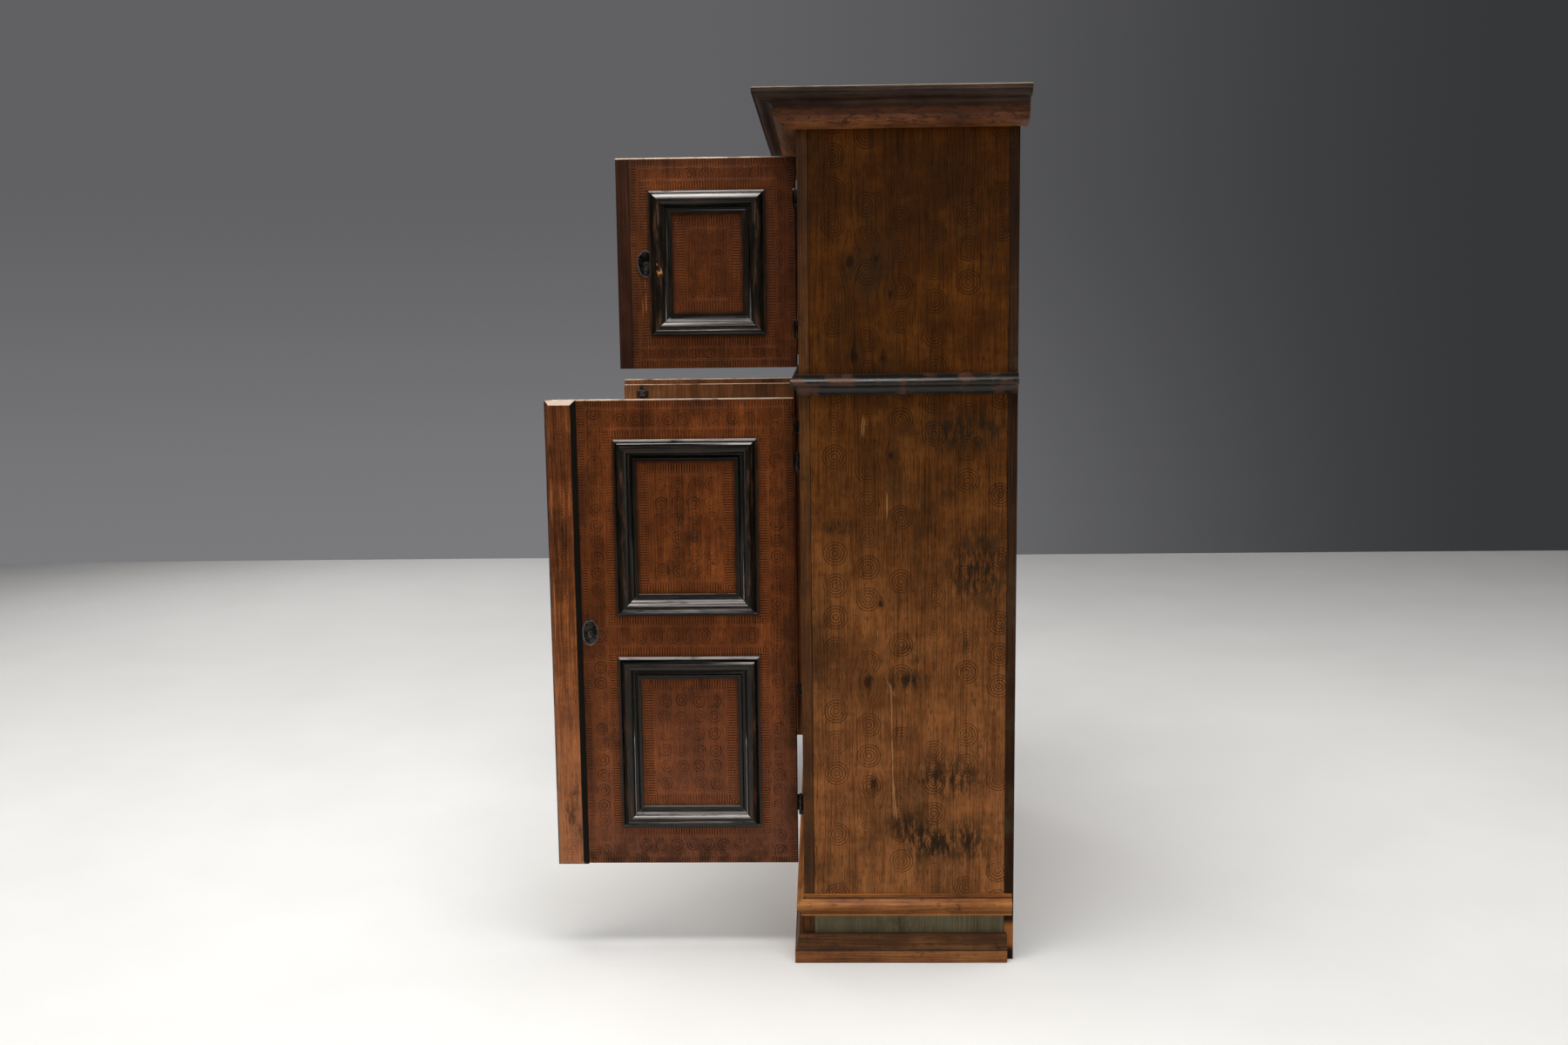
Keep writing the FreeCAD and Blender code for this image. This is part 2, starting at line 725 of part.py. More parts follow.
def leaf(label, stage, hand, free, plug_free, keyed):
    """A lipped board: the rounded lip laps the frame and the plug fills the opening."""
    own = own_label(label, hand)
    lip = new_body(f"{own}_lip")
    leaf_levels = (f"{stage}_leaf_bottom", f"{stage}_leaf_top")
    corners = [
        (f"{stage}_leaf_start", leaf_levels[0]),
        (free, leaf_levels[0]),
        (free, leaf_levels[1]),
        (f"{stage}_leaf_start", leaf_levels[1]),
    ]
    plan = outline(lip, f"{own}_outline", "XZ_Plane", f"-{stage}_lip_back", corners)
    board = pad(lip, plan, "lip_thickness")
    rounding = lip.newObject("PartDesign::Fillet", f"{own}_rounding")
    rounding.Base = (board, [front_face(board)])
    bind(rounding, "Radius", "leaf_rounding")

    low = (f"{stage}_plug_edge", f"{stage}_lip_back", f"{stage}_plug_bottom")
    high = (plug_free, f"{stage}_leaf_inside", f"{stage}_plug_top")
    whole = join(f"{own}_whole", [lip, box(f"{own}_plug", low, high)])

    cuts = []
    for end in ("low", "high"):
        reach = f"({stage}_strap_height / 2 + strap_clearance)"
        middle = f"{stage}_hinge_{end}"
        low = (f"{stage}_leaf_edge - {PAST}", strap_front(stage, "strap_clearance"), f"{middle} - {reach}")
        high = (f"{stage}_plug_edge", f"{stage}_lip_back + {PAST}", f"{middle} + {reach}")
        cuts.append(box(f"{own}_strap_recess_{end}", low, high))
        if stage == "upper":
            cuts.append(knuckle_notch(f"{own}_knuckle_notch_{end}", stage, end))
    if keyed:
        cuts.append(key_hole(f"{own}_key_hole", stage))
    return hang(label, cut(own, whole, cuts), stage, hand)


def knuckle_notch(label, stage, end):
    """Room in a lip that reaches past the hinge axis, for the strap's eye, the pin and the pintle's foot."""
    foot = f"{stage}_hinge_{end} - {stage}_strap_height / 2"
    bottom = f"{foot} - pintle_foot_gap - pintle_foot_height - notch_clearance"
    top = f"{foot} + {stage}_strap_height + pin_headroom + notch_clearance"
    low = (f"{stage}_leaf_start - {PAST}", f"{stage}_leaf_face - {PAST}", bottom)
    high = (f"{stage}_leaf_edge", f"{stage}_lip_back + {PAST}", top)
    return box(label, low, high)


def strap_front(stage, clearance):
    return f"{stage}_knuckle_radius - strap_thickness - {clearance}"


def key_hole(label, stage):
    """A round hole with a slot below it, right through the leaf and its plate."""
    inward = FreeCAD.Rotation(FreeCAD.Vector(1, 0, 0), -90)
    front = f"{stage}_leaf_face - plate_thickness - plate_rim_height"
    depth = "lip_thickness + plug_thickness + plate_thickness + plate_rim_height"
    centre = (f"{stage}_key_place", front, f"{stage}_key_level")
    eye = cylinder(f"{label}_eye", centre, "key_hole_radius", depth, inward)
    low = (f"{stage}_key_place - key_slot_width / 2", front, f"{stage}_key_level - key_slot_drop")
    high = (f"{stage}_key_place + key_slot_width / 2", f"{stage}_leaf_inside", f"{stage}_key_level")
    return join(label, [eye, box(f"{label}_slot", low, high)])


def straps(label, stage, hand):
    """Two cranked iron straps: inner face, round the plug's edge, under the lip, to the eye."""
    own = own_label(label, hand)
    pieces = []
    for end in ("low", "high"):
        strap = new_body(f"{own}_{end}")
        crank = f"{stage}_plug_edge - strap_clearance - strap_thickness"
        near = strap_front(stage, "0")
        far = f"{stage}_leaf_inside + strap_thickness"
        tip = f"{stage}_leaf_edge + {stage}_strap_length"
        corners = [
            ("0", near),
            (f"{crank} + strap_thickness", near),
            (f"{crank} + strap_thickness", f"{stage}_leaf_inside"),
            (tip, f"{stage}_leaf_inside"),
            (tip, far),
            (crank, far),
            (crank, f"{stage}_knuckle_radius"),
            ("0", f"{stage}_knuckle_radius"),
        ]
        foot = f"{stage}_hinge_{end} - {stage}_strap_height / 2"
        plan = outline(strap, f"{strap.Name}_plan", "XY_Plane", foot, corners)
        pad(strap, plan, f"{stage}_strap_height")
        radius = f"{stage}_knuckle_radius"
        eye = cylinder(f"{strap.Name}_eye", ("0", "0", foot), radius, f"{stage}_strap_height")
        bore = cylinder(
            f"{strap.Name}_bore",
            ("0", "0", f"{foot} - {PAST}"),
            f"{stage}_pin_radius + pin_clearance",
            f"{stage}_strap_height + {2 * PAST}",
        )
        pieces.append(cut(f"{strap.Name}_bored", join(f"{strap.Name}_eyed", [strap, eye]), [bore]))
    return hang(label, group(own, pieces), stage, hand)


def spike(stage, end, label):
    """The square spike that a pintle drives into the right-hand stile."""
    middle = f"{stage}_hinge_line"
    top = f"{stage}_hinge_{end} - {stage}_strap_height / 2 - pintle_foot_gap"
    centre = f"{top} - pintle_foot_height / 2"
    low = (f"{middle} - spike_size / 2", "front_plane", f"{centre} - spike_size / 2")
    high = (f"{middle} + spike_size / 2", "front_plane + spike_length", f"{centre} + spike_size / 2")
    return box(label, low, high)


def pintles(stage):
    """Pins on feet, one under each strap's eye, spiked into both stiles."""
    pieces = []
    for end in ("low", "high"):
        name = f"{stage}_pintle_{end}"
        top = f"{stage}_hinge_{end} - {stage}_strap_height / 2 - pintle_foot_gap"
        sides = [f"{stage}_hinge_line {sign} pintle_foot_width / 2" for sign in "-+"]
        low = (sides[0], f"{stage}_hinge_depth", f"{top} - pintle_foot_height")
        foot = box(f"{name}_foot", low, (sides[1], "front_plane", top))
        axis = (f"{stage}_hinge_line", f"{stage}_hinge_depth", f"{top} - pintle_foot_height")
        collar = cylinder(f"{name}_collar", axis, "pintle_foot_width / 2", "pintle_foot_height")
        rise = f"{stage}_strap_height + pintle_foot_gap + pintle_foot_height + pin_headroom"
        pin = cylinder(f"{name}_pin", axis, f"{stage}_pin_radius", rise)
        right = join(f"{name}_right", [foot, collar, pin, spike(stage, end, f"{name}_spike")])
        pieces += [right, mirrored(f"{name}_left", right)]
    return keep(group(f"{stage}_pintles", pieces))


def escutcheon(label, stage, hand):
    """An oval iron plate with a raised rim and a key hole, trimmed beside the moulding that it meets."""
    own = own_label(label, hand)
    ovals = {
        "plate": ("0", "plate_thickness"),
        "rim": ("0", "plate_rim_height"),
        "well": ("plate_rim_width", "plate_rim_height"),
    }
    ways = (FreeCAD.Vector(0, 0, 1), FreeCAD.Vector(1, 0, 0), FreeCAD.Vector(0, -1, 0))
    upright = FreeCAD.Rotation(*ways, "ZXY")
    solids = {}
    for name, (inset, height) in ovals.items():
        oval = doc.addObject("Part::Ellipse", f"{own}_{name}_oval")
        bind(oval, "MajorRadius", f"plate_half_height - {inset}")
        bind(oval, "MinorRadius", f"plate_half_width - {inset}")
        oval.Placement = FreeCAD.Placement(FreeCAD.Vector(), upright)
        lift = "plate_thickness" if name == "well" else "0"
        bind(oval, "Placement.Base.x", f"{stage}_key_place")
        bind(oval, "Placement.Base.y", f"{stage}_leaf_face - {lift}")
        bind(oval, "Placement.Base.z", f"{stage}_key_level")
        solid = doc.addObject("Part::Extrusion", f"{own}_{name}")
        solid.Base = oval
        solid.DirMode = "Custom"
        solid.Dir = FreeCAD.Vector(0, -1, 0)
        solid.Solid = True
        bind(solid, "LengthFwd", height)
        solids[name] = solid
    rim = cut(f"{own}_hollowed", solids["rim"], [solids["well"]])
    whole = join(f"{own}_whole", [solids["plate"], rim])
    limit = f"{stage}_plate_limit"
    ends = (limit, f"{limit} + plate_half_width")
    if stage == "upper":
        ends = (f"{limit} - plate_half_width", limit)
    bottom = f"{stage}_key_level - plate_half_height - {PAST}"
    top = f"{stage}_key_level + plate_half_height + {PAST}"
    low = (ends[0], f"{stage}_leaf_face - plate_rim_height - {PAST}", bottom)
    trim = box(f"{own}_trim", low, (ends[1], f"{stage}_leaf_face + {PAST}", top))
    return hang(label, cut(own, whole, [trim, key_hole(f"{own}_key_hole", stage)]), stage, hand)


def lock(label, stage, hand):
    """A box lock on the leaf's inner face and the bolt that slides in it."""
    own = own_label(f"{label}_lock_case", hand)
    end = f"{stage}_lock_end"
    back = f"{stage}_bolt_front + lock_bolt_thickness + lock_wall"
    low = (f"{end} - lock_width", f"{stage}_leaf_inside", f"{stage}_key_level - lock_height / 2")
    case = box(f"{own}_blank", low, (end, back, f"{stage}_key_level + lock_height / 2"))
    tail = f"{end} + lock_bolt_nose - lock_bolt_length"
    bottom = f"{stage}_bolt_level - lock_bolt_height / 2"
    top = f"{stage}_bolt_level + lock_bolt_height / 2"
    inside = f"{stage}_bolt_front + lock_bolt_thickness"
    low = (
        f"{tail} - lock_bolt_clearance",
        f"{stage}_bolt_front - lock_bolt_clearance",
        f"{bottom} - lock_bolt_clearance",
    )
    high = (f"{end} + {PAST}", f"{inside} + lock_bolt_clearance", f"{top} + lock_bolt_clearance")
    tunnel = box(f"{own}_tunnel", low, high)
    hang(f"{label}_lock_case", cut(own, case, [tunnel]), stage, hand)

    own = own_label(f"{label}_lock_bolt", hand)
    bar = box(f"{own}_bar", (tail, f"{stage}_bolt_front", bottom), (f"{end} + lock_bolt_nose", inside, top))
    bolt = group(own, [bar])
    hang(f"{label}_lock_bolt", bolt, stage, hand)


def astragal(label, stage, hand):
    """The bevelled cover strip on the right lower door, lapping the left one."""
    own = own_label(label, hand)
    strip = new_body(f"{own}_strip")
    outer = "astragal_start + astragal_width"
    levels = ("lower_leaf_bottom", "lower_leaf_top")
    corners = [
        ("astragal_start", levels[0]),
        (outer, levels[0]),
        (outer, levels[1]),
        ("astragal_start", levels[1]),
    ]
    face = "-lower_leaf_face"
    board = pad(strip, outline(strip, f"{own}_outline", "XZ_Plane", face, corners), "astragal_thickness")
    bevel = strip.newObject("PartDesign::Chamfer", f"{own}_bevel")
    bevel.Base = (board, [front_face(board)])
    bind(bevel, "Size", "astragal_bevel")
    low = ("lower_right_free", "lower_leaf_face - astragal_relief", f"{levels[0]} - {PAST}")
    high = (f"{outer} + {PAST}", f"lower_leaf_face + {PAST}", f"{levels[1]} + {PAST}")
    relief = box(f"{own}_relief", low, high)
    return hang(label, cut(own, strip, [relief]), stage, hand)


def slide_bolts():
    """Top and bottom slide bolts on the left lower door, their staples and the lock's keeper."""
    sides = [f"slide_place {sign} slide_width / 2" for sign in "-+"]
    staples = []
    inward = FreeCAD.Rotation(FreeCAD.Vector(1, 0, 0), -90)
    for end in ("top", "bottom"):
        name = f"lower_left_{end}_bolt"
        if end == "top":
            levels = ("lower_plug_top - slide_length", "lower_plug_top")
            knob = "lower_plug_top - slide_knob_drop"
            inner_staple = "lower_plug_top - slide_length + staple_inset"
            outer_staple = "lower_plug_top - staple_inset"
        else:
            levels = ("lower_plug_bottom", "lower_plug_bottom + slide_length")
            knob = "lower_plug_bottom + slide_knob_drop"
            inner_staple = "lower_plug_bottom + slide_length - staple_inset"
            outer_staple = "lower_plug_bottom + staple_inset"
        bar = box(f"{name}_bar", (sides[0], "slide_front", levels[0]), (sides[1], "slide_back", levels[1]))
        seat = ("slide_place", "slide_back", knob)
        button = cylinder(f"{name}_knob", seat, "slide_knob_radius", "slide_knob_length", inward)
        hang(name, join(name, [bar, button]), "lower", "left")
        for index, middle in enumerate((inner_staple, outer_staple)):
            staples.append(staple(f"{name}_staple_{index + 1}", sides, middle))
    outer = "lower_left_free - keeper_setback"
    back = "lower_bolt_front + lock_bolt_thickness + keeper_clearance + keeper_wall"
    bottom = "lower_bolt_level - lock_bolt_height / 2 - keeper_clearance"
    top = "lower_bolt_level + lock_bolt_height / 2 + keeper_clearance"
    low = (f"{outer} - keeper_width", "lower_leaf_inside", f"{bottom} - keeper_wall")
    block = box("lower_left_keeper_block", low, (outer, back, f"{top} + keeper_wall"))
    low = (f"{outer} - keeper_width - {PAST}", "lower_bolt_front - keeper_clearance", bottom)
    high = (f"{outer} + {PAST}", "lower_bolt_front + lock_bolt_thickness + keeper_clearance", top)
    staples.append(cut("lower_left_keeper", block, [box("lower_left_keeper_way", low, high)]))
    hang("lower_left_staples", group("lower_left_staples", staples), "lower", "left")


def staple(label, sides, middle):
    """A flat iron staple over a slide bolt, with a foot on each side."""
    levels = [f"{middle} {sign} staple_height / 2" for sign in "-+"]
    cut_levels = (f"{levels[0]} - {PAST}", f"{levels[1]} + {PAST}")
    feet = (f"{sides[0]} - staple_foot", f"{sides[1]} + staple_foot")
    crown = "slide_back + slide_clearance + staple_wall"
    block = box(f"{label}_block", (feet[0], "lower_leaf_inside", levels[0]), (feet[1], crown, levels[1]))
    ways = [
        (
            (f"{sides[0]} - slide_clearance", f"lower_leaf_inside - {PAST}"),
            (f"{sides[1]} + slide_clearance", "slide_back + slide_clearance"),
        ),
        (
            (f"{feet[0]} - {PAST}", "lower_leaf_inside + staple_wall"),
            (f"{sides[0]} - slide_clearance - staple_wall", f"{crown} + {PAST}"),
        ),
        (
            (f"{sides[1]} + slide_clearance + staple_wall", "lower_leaf_inside + staple_wall"),
            (f"{feet[1]} + {PAST}", f"{crown} + {PAST}"),
        ),
    ]
    cuts = []
    for index, (low, high) in enumerate(ways):
        cuts.append(box(f"{label}_cut_{index + 1}", (*low, cut_levels[0]), (*high, cut_levels[1])))
    return cut(label, block, cuts)


def door_panels(label, stage, hand, sides, levels):
    """The panel mouldings of one door, as one node for each panel."""
    for suffix, ends in levels.items():
        name = f"{label}_{suffix}"
        own = own_label(name, hand)
        hang(name, panel_frame(own, sides, ends, f"{stage}_leaf_face"), stage, hand)


def doors():
    lower_sides = ("lower_panel_start", "lower_panel_start + lower_panel_width")
    low_start = "lower_leaf_bottom + lower_panel_end"
    high_start = f"{low_start} + lower_panel_height + lower_panel_gap"
    lower_levels = {
        "low_panel_frame": (low_start, f"{low_start} + lower_panel_height"),
        "high_panel_frame": (high_start, f"{high_start} + lower_panel_height"),
    }
    upper_sides = ("upper_panel_start", "upper_panel_start + upper_panel_width")
    upper_levels = {
        "panel_frame": ("upper_leaf_bottom + upper_panel_end", "upper_leaf_top - upper_panel_end"),
    }
    for hand in ("left", "right"):
        name = f"lower_{hand}"
        free = f"lower_{hand}_free"
        leaf(f"{name}_leaf", "lower", hand, free, free, hand == "right")
        door_panels(name, "lower", hand, lower_sides, lower_levels)
        straps(f"{name}_straps", "lower", hand)
        name = f"upper_{hand}"
        leaf(f"{name}_leaf", "upper", hand, "upper_free", "upper_plug_free", True)
        door_panels(name, "upper", hand, upper_sides, upper_levels)
        straps(f"{name}_straps", "upper", hand)
        escutcheon(f"{name}_escutcheon", "upper", hand)
        lock(name, "upper", hand)
    astragal("lower_right_astragal", "lower", "right")
    escutcheon("lower_right_escutcheon", "lower", "right")
    lock("lower_right", "lower", "right")
    slide_bolts()
    for stage in STAGES:
        pintles(stage)


def check_document():
    """Stop before anything is written if any object or sub-part failed."""
    for thing in doc.Objects:
        if "Invalid" in thing.State or "Error" in thing.State:
            raise RuntimeError(f"{thing.Label} did not recompute: {thing.State}")
    for thing in nodes:
        if thing.Shape.isNull() or not thing.Shape.isValid() or not thing.Shape.Solids:
            raise RuntimeError(f"{thing.Label} has no valid solid")


def write_parts():
    os.makedirs("parts", exist_ok=True)
    for thing in nodes:
        thing.Shape.exportStep(f"parts/{thing.Label}.step")
    print(f"{len(nodes)} sub-parts written")


fill_sheets()
carcass()
face_frame()
mouldings()
doors()
doc.recompute()
check_document()
write_parts()
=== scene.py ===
import math
import random

import bmesh
import bpy
from mathutils import Matrix, Vector


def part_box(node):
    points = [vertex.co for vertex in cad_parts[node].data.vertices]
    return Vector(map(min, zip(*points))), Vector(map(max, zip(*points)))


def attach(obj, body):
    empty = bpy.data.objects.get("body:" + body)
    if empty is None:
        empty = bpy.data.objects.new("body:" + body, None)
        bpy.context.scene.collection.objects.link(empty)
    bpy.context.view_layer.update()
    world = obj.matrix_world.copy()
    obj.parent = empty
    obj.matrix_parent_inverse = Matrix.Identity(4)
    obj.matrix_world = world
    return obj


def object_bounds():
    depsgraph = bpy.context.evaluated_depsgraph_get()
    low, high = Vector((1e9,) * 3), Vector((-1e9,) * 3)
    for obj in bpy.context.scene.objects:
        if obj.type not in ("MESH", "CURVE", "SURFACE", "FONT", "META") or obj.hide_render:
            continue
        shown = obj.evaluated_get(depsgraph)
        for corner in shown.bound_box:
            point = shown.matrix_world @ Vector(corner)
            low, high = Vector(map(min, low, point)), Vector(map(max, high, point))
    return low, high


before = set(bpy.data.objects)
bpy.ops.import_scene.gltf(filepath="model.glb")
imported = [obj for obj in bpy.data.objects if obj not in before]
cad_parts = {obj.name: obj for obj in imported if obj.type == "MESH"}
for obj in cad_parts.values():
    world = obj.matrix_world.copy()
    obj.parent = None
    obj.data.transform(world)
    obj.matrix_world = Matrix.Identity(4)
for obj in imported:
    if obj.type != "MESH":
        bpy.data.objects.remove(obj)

# An old two-stage cupboard in combed paint, with ebonised mouldings and forged iron.
# Metres, in the frame of the solids. Right-hand and left-hand pieces mirror each other in X.

CAD_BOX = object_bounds()
MM = 0.001
TURN = 2 * math.pi
X, Y, Z = range(3)

DOORS = ("lower_right", "lower_left", "upper_right", "upper_left")
LOCKED_DOORS = ("lower_right", "upper_right", "upper_left")
LEAF_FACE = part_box("lower_right_leaf")[1].x
MOULD_WIDTH = 48 * MM
STRIP_BEVEL = 11 * MM
PLATE_HALF_WIDTH = 18.5 * MM
PLATE_THICKNESS = 1.5 * MM


def srgb(red, green, blue):
    """A colour as it looks on screen, 0 to 255, in the linear values that a shader takes."""
    shares = [value / 255 for value in (red, green, blue)]
    return (*[((share + 0.055) / 1.055) ** 2.4 if share > 0.04 else share / 12.92 for share in shares], 1)


# Shader values and finishes

class Tone:
    """A value in a node tree: arithmetic on it adds Math nodes there."""

    def __init__(self, graph, socket):
        self.graph = graph
        self.socket = socket

    def math(self, operation, first, second=0.0):
        return self.graph.node("ShaderNodeMath", {"operation": operation}, {0: first, 1: second})

    def __add__(self, other):
        return self.math("ADD", self, other)

    def __radd__(self, other):
        return self.math("ADD", other, self)

    def __sub__(self, other):
        return self.math("SUBTRACT", self, other)

    def __rsub__(self, other):
        return self.math("SUBTRACT", other, self)

    def __mul__(self, other):
        return self.math("MULTIPLY", self, other)

    def __rmul__(self, other):
        return self.math("MULTIPLY", other, self)

    def __truediv__(self, other):
        return self.math("DIVIDE", self, other)

    def __rtruediv__(self, other):
        return self.math("DIVIDE", other, self)

    def __gt__(self, other):
        return self.math("GREATER_THAN", self, other)

    def __lt__(self, other):
        return self.math("LESS_THAN", self, other)

    def __abs__(self):
        return self.math("ABSOLUTE", self)

    def most(self, other):
        return self.math("MAXIMUM", self, other)

    def least(self, other):
        return self.math("MINIMUM", self, other)

    def fraction(self):
        return self.math("FRACT", self)

    def whole(self):
        return self.math("FLOOR", self)

    def cosine(self):
        return self.math("COSINE", self)

    def root(self):
        return self.math("SQRT", self)

    def output(self, name):
        """Another output of the node that this value comes from."""
        return Tone(self.graph, self.socket.node.outputs[name])


class Graph:
    """A tree of shader nodes."""

    def __init__(self, tree):
        self.tree = tree

    def feed(self, socket, value):
        if isinstance(value, Tone):
            self.tree.links.new(value.socket, socket)
        else:
            socket.default_value = value

    def node(self, kind, settings={}, sockets={}):
        """Add a node: its settings first, then the values or links of its sockets."""
        node = self.tree.nodes.new(kind)
        for name, value in settings.items():
            setattr(node, name, value)
        for name, value in sockets.items():
            self.feed(node.inputs[name], value)
        return Tone(self, node.outputs[0])

    def rise(self, value, low, high):
        """0 below low, 1 above high, smooth between; low may be the larger, which turns it round."""
        sockets = {"Value": value, "From Min": low, "From Max": high}
        return self.node("ShaderNodeMapRange", {"interpolation_type": "SMOOTHSTEP"}, sockets)

    def mix(self, factor, first, second):
        mixed = self.node("ShaderNodeMix", {"data_type": "RGBA"}, {0: factor, 6: first, 7: second})
        return Tone(self, mixed.socket.node.outputs[2])


class Finish(Graph):
    """One material, painted by the place of each point in the row frame."""

    def __init__(self, name):
        self.material = bpy.data.materials.new(name)
        self.material.use_nodes = True
        super().__init__(self.material.node_tree)
        self.shader = self.tree.nodes["Principled BSDF"]
        self.place = self.node("ShaderNodeTexCoord").output("Object")
        split = self.node("ShaderNodeSeparateXYZ", {}, {0: self.place})
        self.axes = [split.output(axis) for axis in "XYZ"]
        self.x, self.y, self.z = self.axes

    def point(self, first, second, third=0.0):
        return self.node("ShaderNodeCombineXYZ", {}, {0: first, 1: second, 2: third})

    def noise(self, place, scale=1.0, detail=3.0, roughness=0.55, distortion=0.0):
        sockets = {"Vector": place, "Scale": scale, "Detail": detail, "Roughness": roughness}
        return self.node("ShaderNodeTexNoise", {}, {**sockets, "Distortion": distortion})

    def chance(self, first, second=0.0):
        """A number from 0 to 1 that is the same all over one cell of whole coordinates."""
        place = self.point(first, second)
        return self.node("ShaderNodeTexWhiteNoise", {"noise_dimensions": "3D"}, {"Vector": place})

    def window(self, value, low, high, soft=0.8 * MM):
        return self.rise(value, low - soft, low + soft) * self.rise(value, high + soft, high - soft)

    def line(self, value, at, width=1.1 * MM):
        return self.rise(abs(value - at), width, 0.3 * width)

    def shades(self, value, dark, middle, light):
        """A colour between three shades, as the value goes from 0 to 1."""
        return self.mix(2 * value - 1, self.mix(2 * value, dark, middle), light)

    def upward(self, least=0.3, most=0.8):
        """1 on faces that look up: where dust settles and hands rub, and where painted highlights of the
        lamps above are put.
        """
        normal = self.node("ShaderNodeNewGeometry").output("Normal")
        split = self.node("ShaderNodeSeparateXYZ", {}, {0: normal})
        return self.rise(split.output("Z"), least, most)

    def worn_edge(self, radius):
        """1 along the edges of a piece, where hands and dusters rub it."""
        rounded = self.node("ShaderNodeBevel", {"samples": 4}, {"Radius": radius})
        flat = self.node("ShaderNodeNewGeometry").output("Normal")
        facing = self.node("ShaderNodeVectorMath", {"operation": "DOT_PRODUCT"}, {0: rounded, 1: flat})
        return self.rise(facing.output("Value"), 0.96, 0.7)

    def done(self, colour, roughness, height, depth, gloss=0.5):
        """Wire the finished values to the shader; height is in units of depth."""
        self.feed(self.shader.inputs["Base Color"], colour)
        self.feed(self.shader.inputs["Roughness"], roughness)
        bump = self.node("ShaderNodeBump", {}, {"Strength": 1.0, "Distance": depth, "Height": height})
        self.feed(self.shader.inputs["Normal"], bump)
        self.shader.inputs["Specular IOR Level"].default_value = gloss
        return self.material


def dress(nodes, material):
    for node in nodes:
        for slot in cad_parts[node].material_slots:
            slot.material = material


# Grain and marks that several finishes share

GROWTH_LINE = 4.4 * MM


class Grain:
    """Growth lines, fibre, pores and blotches of a board whose grain runs along one axis."""

    def __init__(self, finish, along, bend=0.0):
        first, second = [axis for index, axis in enumerate(finish.axes) if index != along]
        across = first + 0.73 * second + bend
        run = finish.axes[along]
        wander = finish.noise(finish.point(8 * across, 1.2 * run), 1.0, 3.0) - 0.5
        wave = ((across + 26 * MM * wander) * (TURN / GROWTH_LINE)).cosine()
        strength = finish.noise(finish.point(45 * across, 1.6 * run, 3.0), 1.0, 3.0)
        self.lines = finish.rise(wave, -0.2, 0.95) * finish.rise(strength, 0.38, 0.66)
        self.fibre = finish.noise(finish.point(330 * across, 7 * run), 1.0, 3.0, 0.6)
        pores = finish.noise(finish.point(950 * across, 52 * run), 1.0, 1.0, 0.4)
        self.pores = finish.rise(pores, 0.6, 0.72)
        self.bands = finish.noise(finish.point(26 * across, 1.5 * run, 7.0), 1.0, 4.0, 0.6)
        self.blotch = finish.noise(finish.place, 7.0, 6.0, 0.64)
        self.mottle = finish.noise(finish.place, 19.0, 6.0, 0.66)

    def tone(self):
        """Light and dark of the bare wood, mostly between 0 and 1."""
        return 3.1 * (0.42 * self.bands + 0.3 * self.fibre + 0.4 * self.blotch - 0.38) - 0.28 * self.lines

    def cloudy_tone(self, streaks=0.46):
        """Light and dark of a painted or stained board: cloudy, with more or less fine streaks."""
        cloud = 0.14 * self.bands + 0.24 * self.blotch + 0.28 * self.mottle
        return 3.1 * (cloud + streaks * (self.fibre - 0.5) - 0.15) - 0.16 * self.lines

    def relief(self):
        return 0.5 * self.fibre - 0.35 * self.lines - 0.4 * self.pores


def distance(first, second):
    return (first * first + second * second).root()


def cell(value, pitch, start=0.0):
    """A coordinate's distance from the middle of its cell, and the cell's number."""
    scaled = (value - start) / pitch
    return (scaled.fraction() - 0.5) * pitch, scaled.whole()


def stamp_rings(finish, radius, reach, gap=6.4 * MM):
    """Rings and a dot about a stamp's middle, given each point's distance from it."""
    waves = finish.rise((radius * (TURN / gap)).cosine(), 0.0, 0.8)
    return waves * finish.rise(radius, reach, reach - 1.2 * MM)


# Painted boards

STAMP = 35.5 * MM
COMB_PITCH = 5.8 * MM
PAINT_DARK = srgb(40, 18, 6)
PAINT_RED = srgb(95, 48, 18)
PAINT_GLOW = srgb(152, 82, 34)
# Paler paint low down, up to the next height: partly faded paint, partly painted bounce light from the
# floor.
PAINT_FADED_AND_FLOOR_LIT = srgb(142, 94, 72)
PALE_BELOW = 0.85
# Overall darkening of the upper doors and centre panel: partly darker paint, partly painted shade high
# up.
UPPER_SHADE = 0.27
PLAIN_EDGE = 28 * MM
LIP_EDGE = 16 * MM
PAINT_MARK = srgb(27, 12, 5)
# Dark of dirt, also used as painted shade beside the panel mouldings.
GRIME_AND_SHADE = srgb(21, 16, 9)
INNER_DARK = srgb(50, 27, 12)
INNER_WOOD = srgb(88, 52, 27)
INNER_LIGHT = srgb(126, 82, 47)


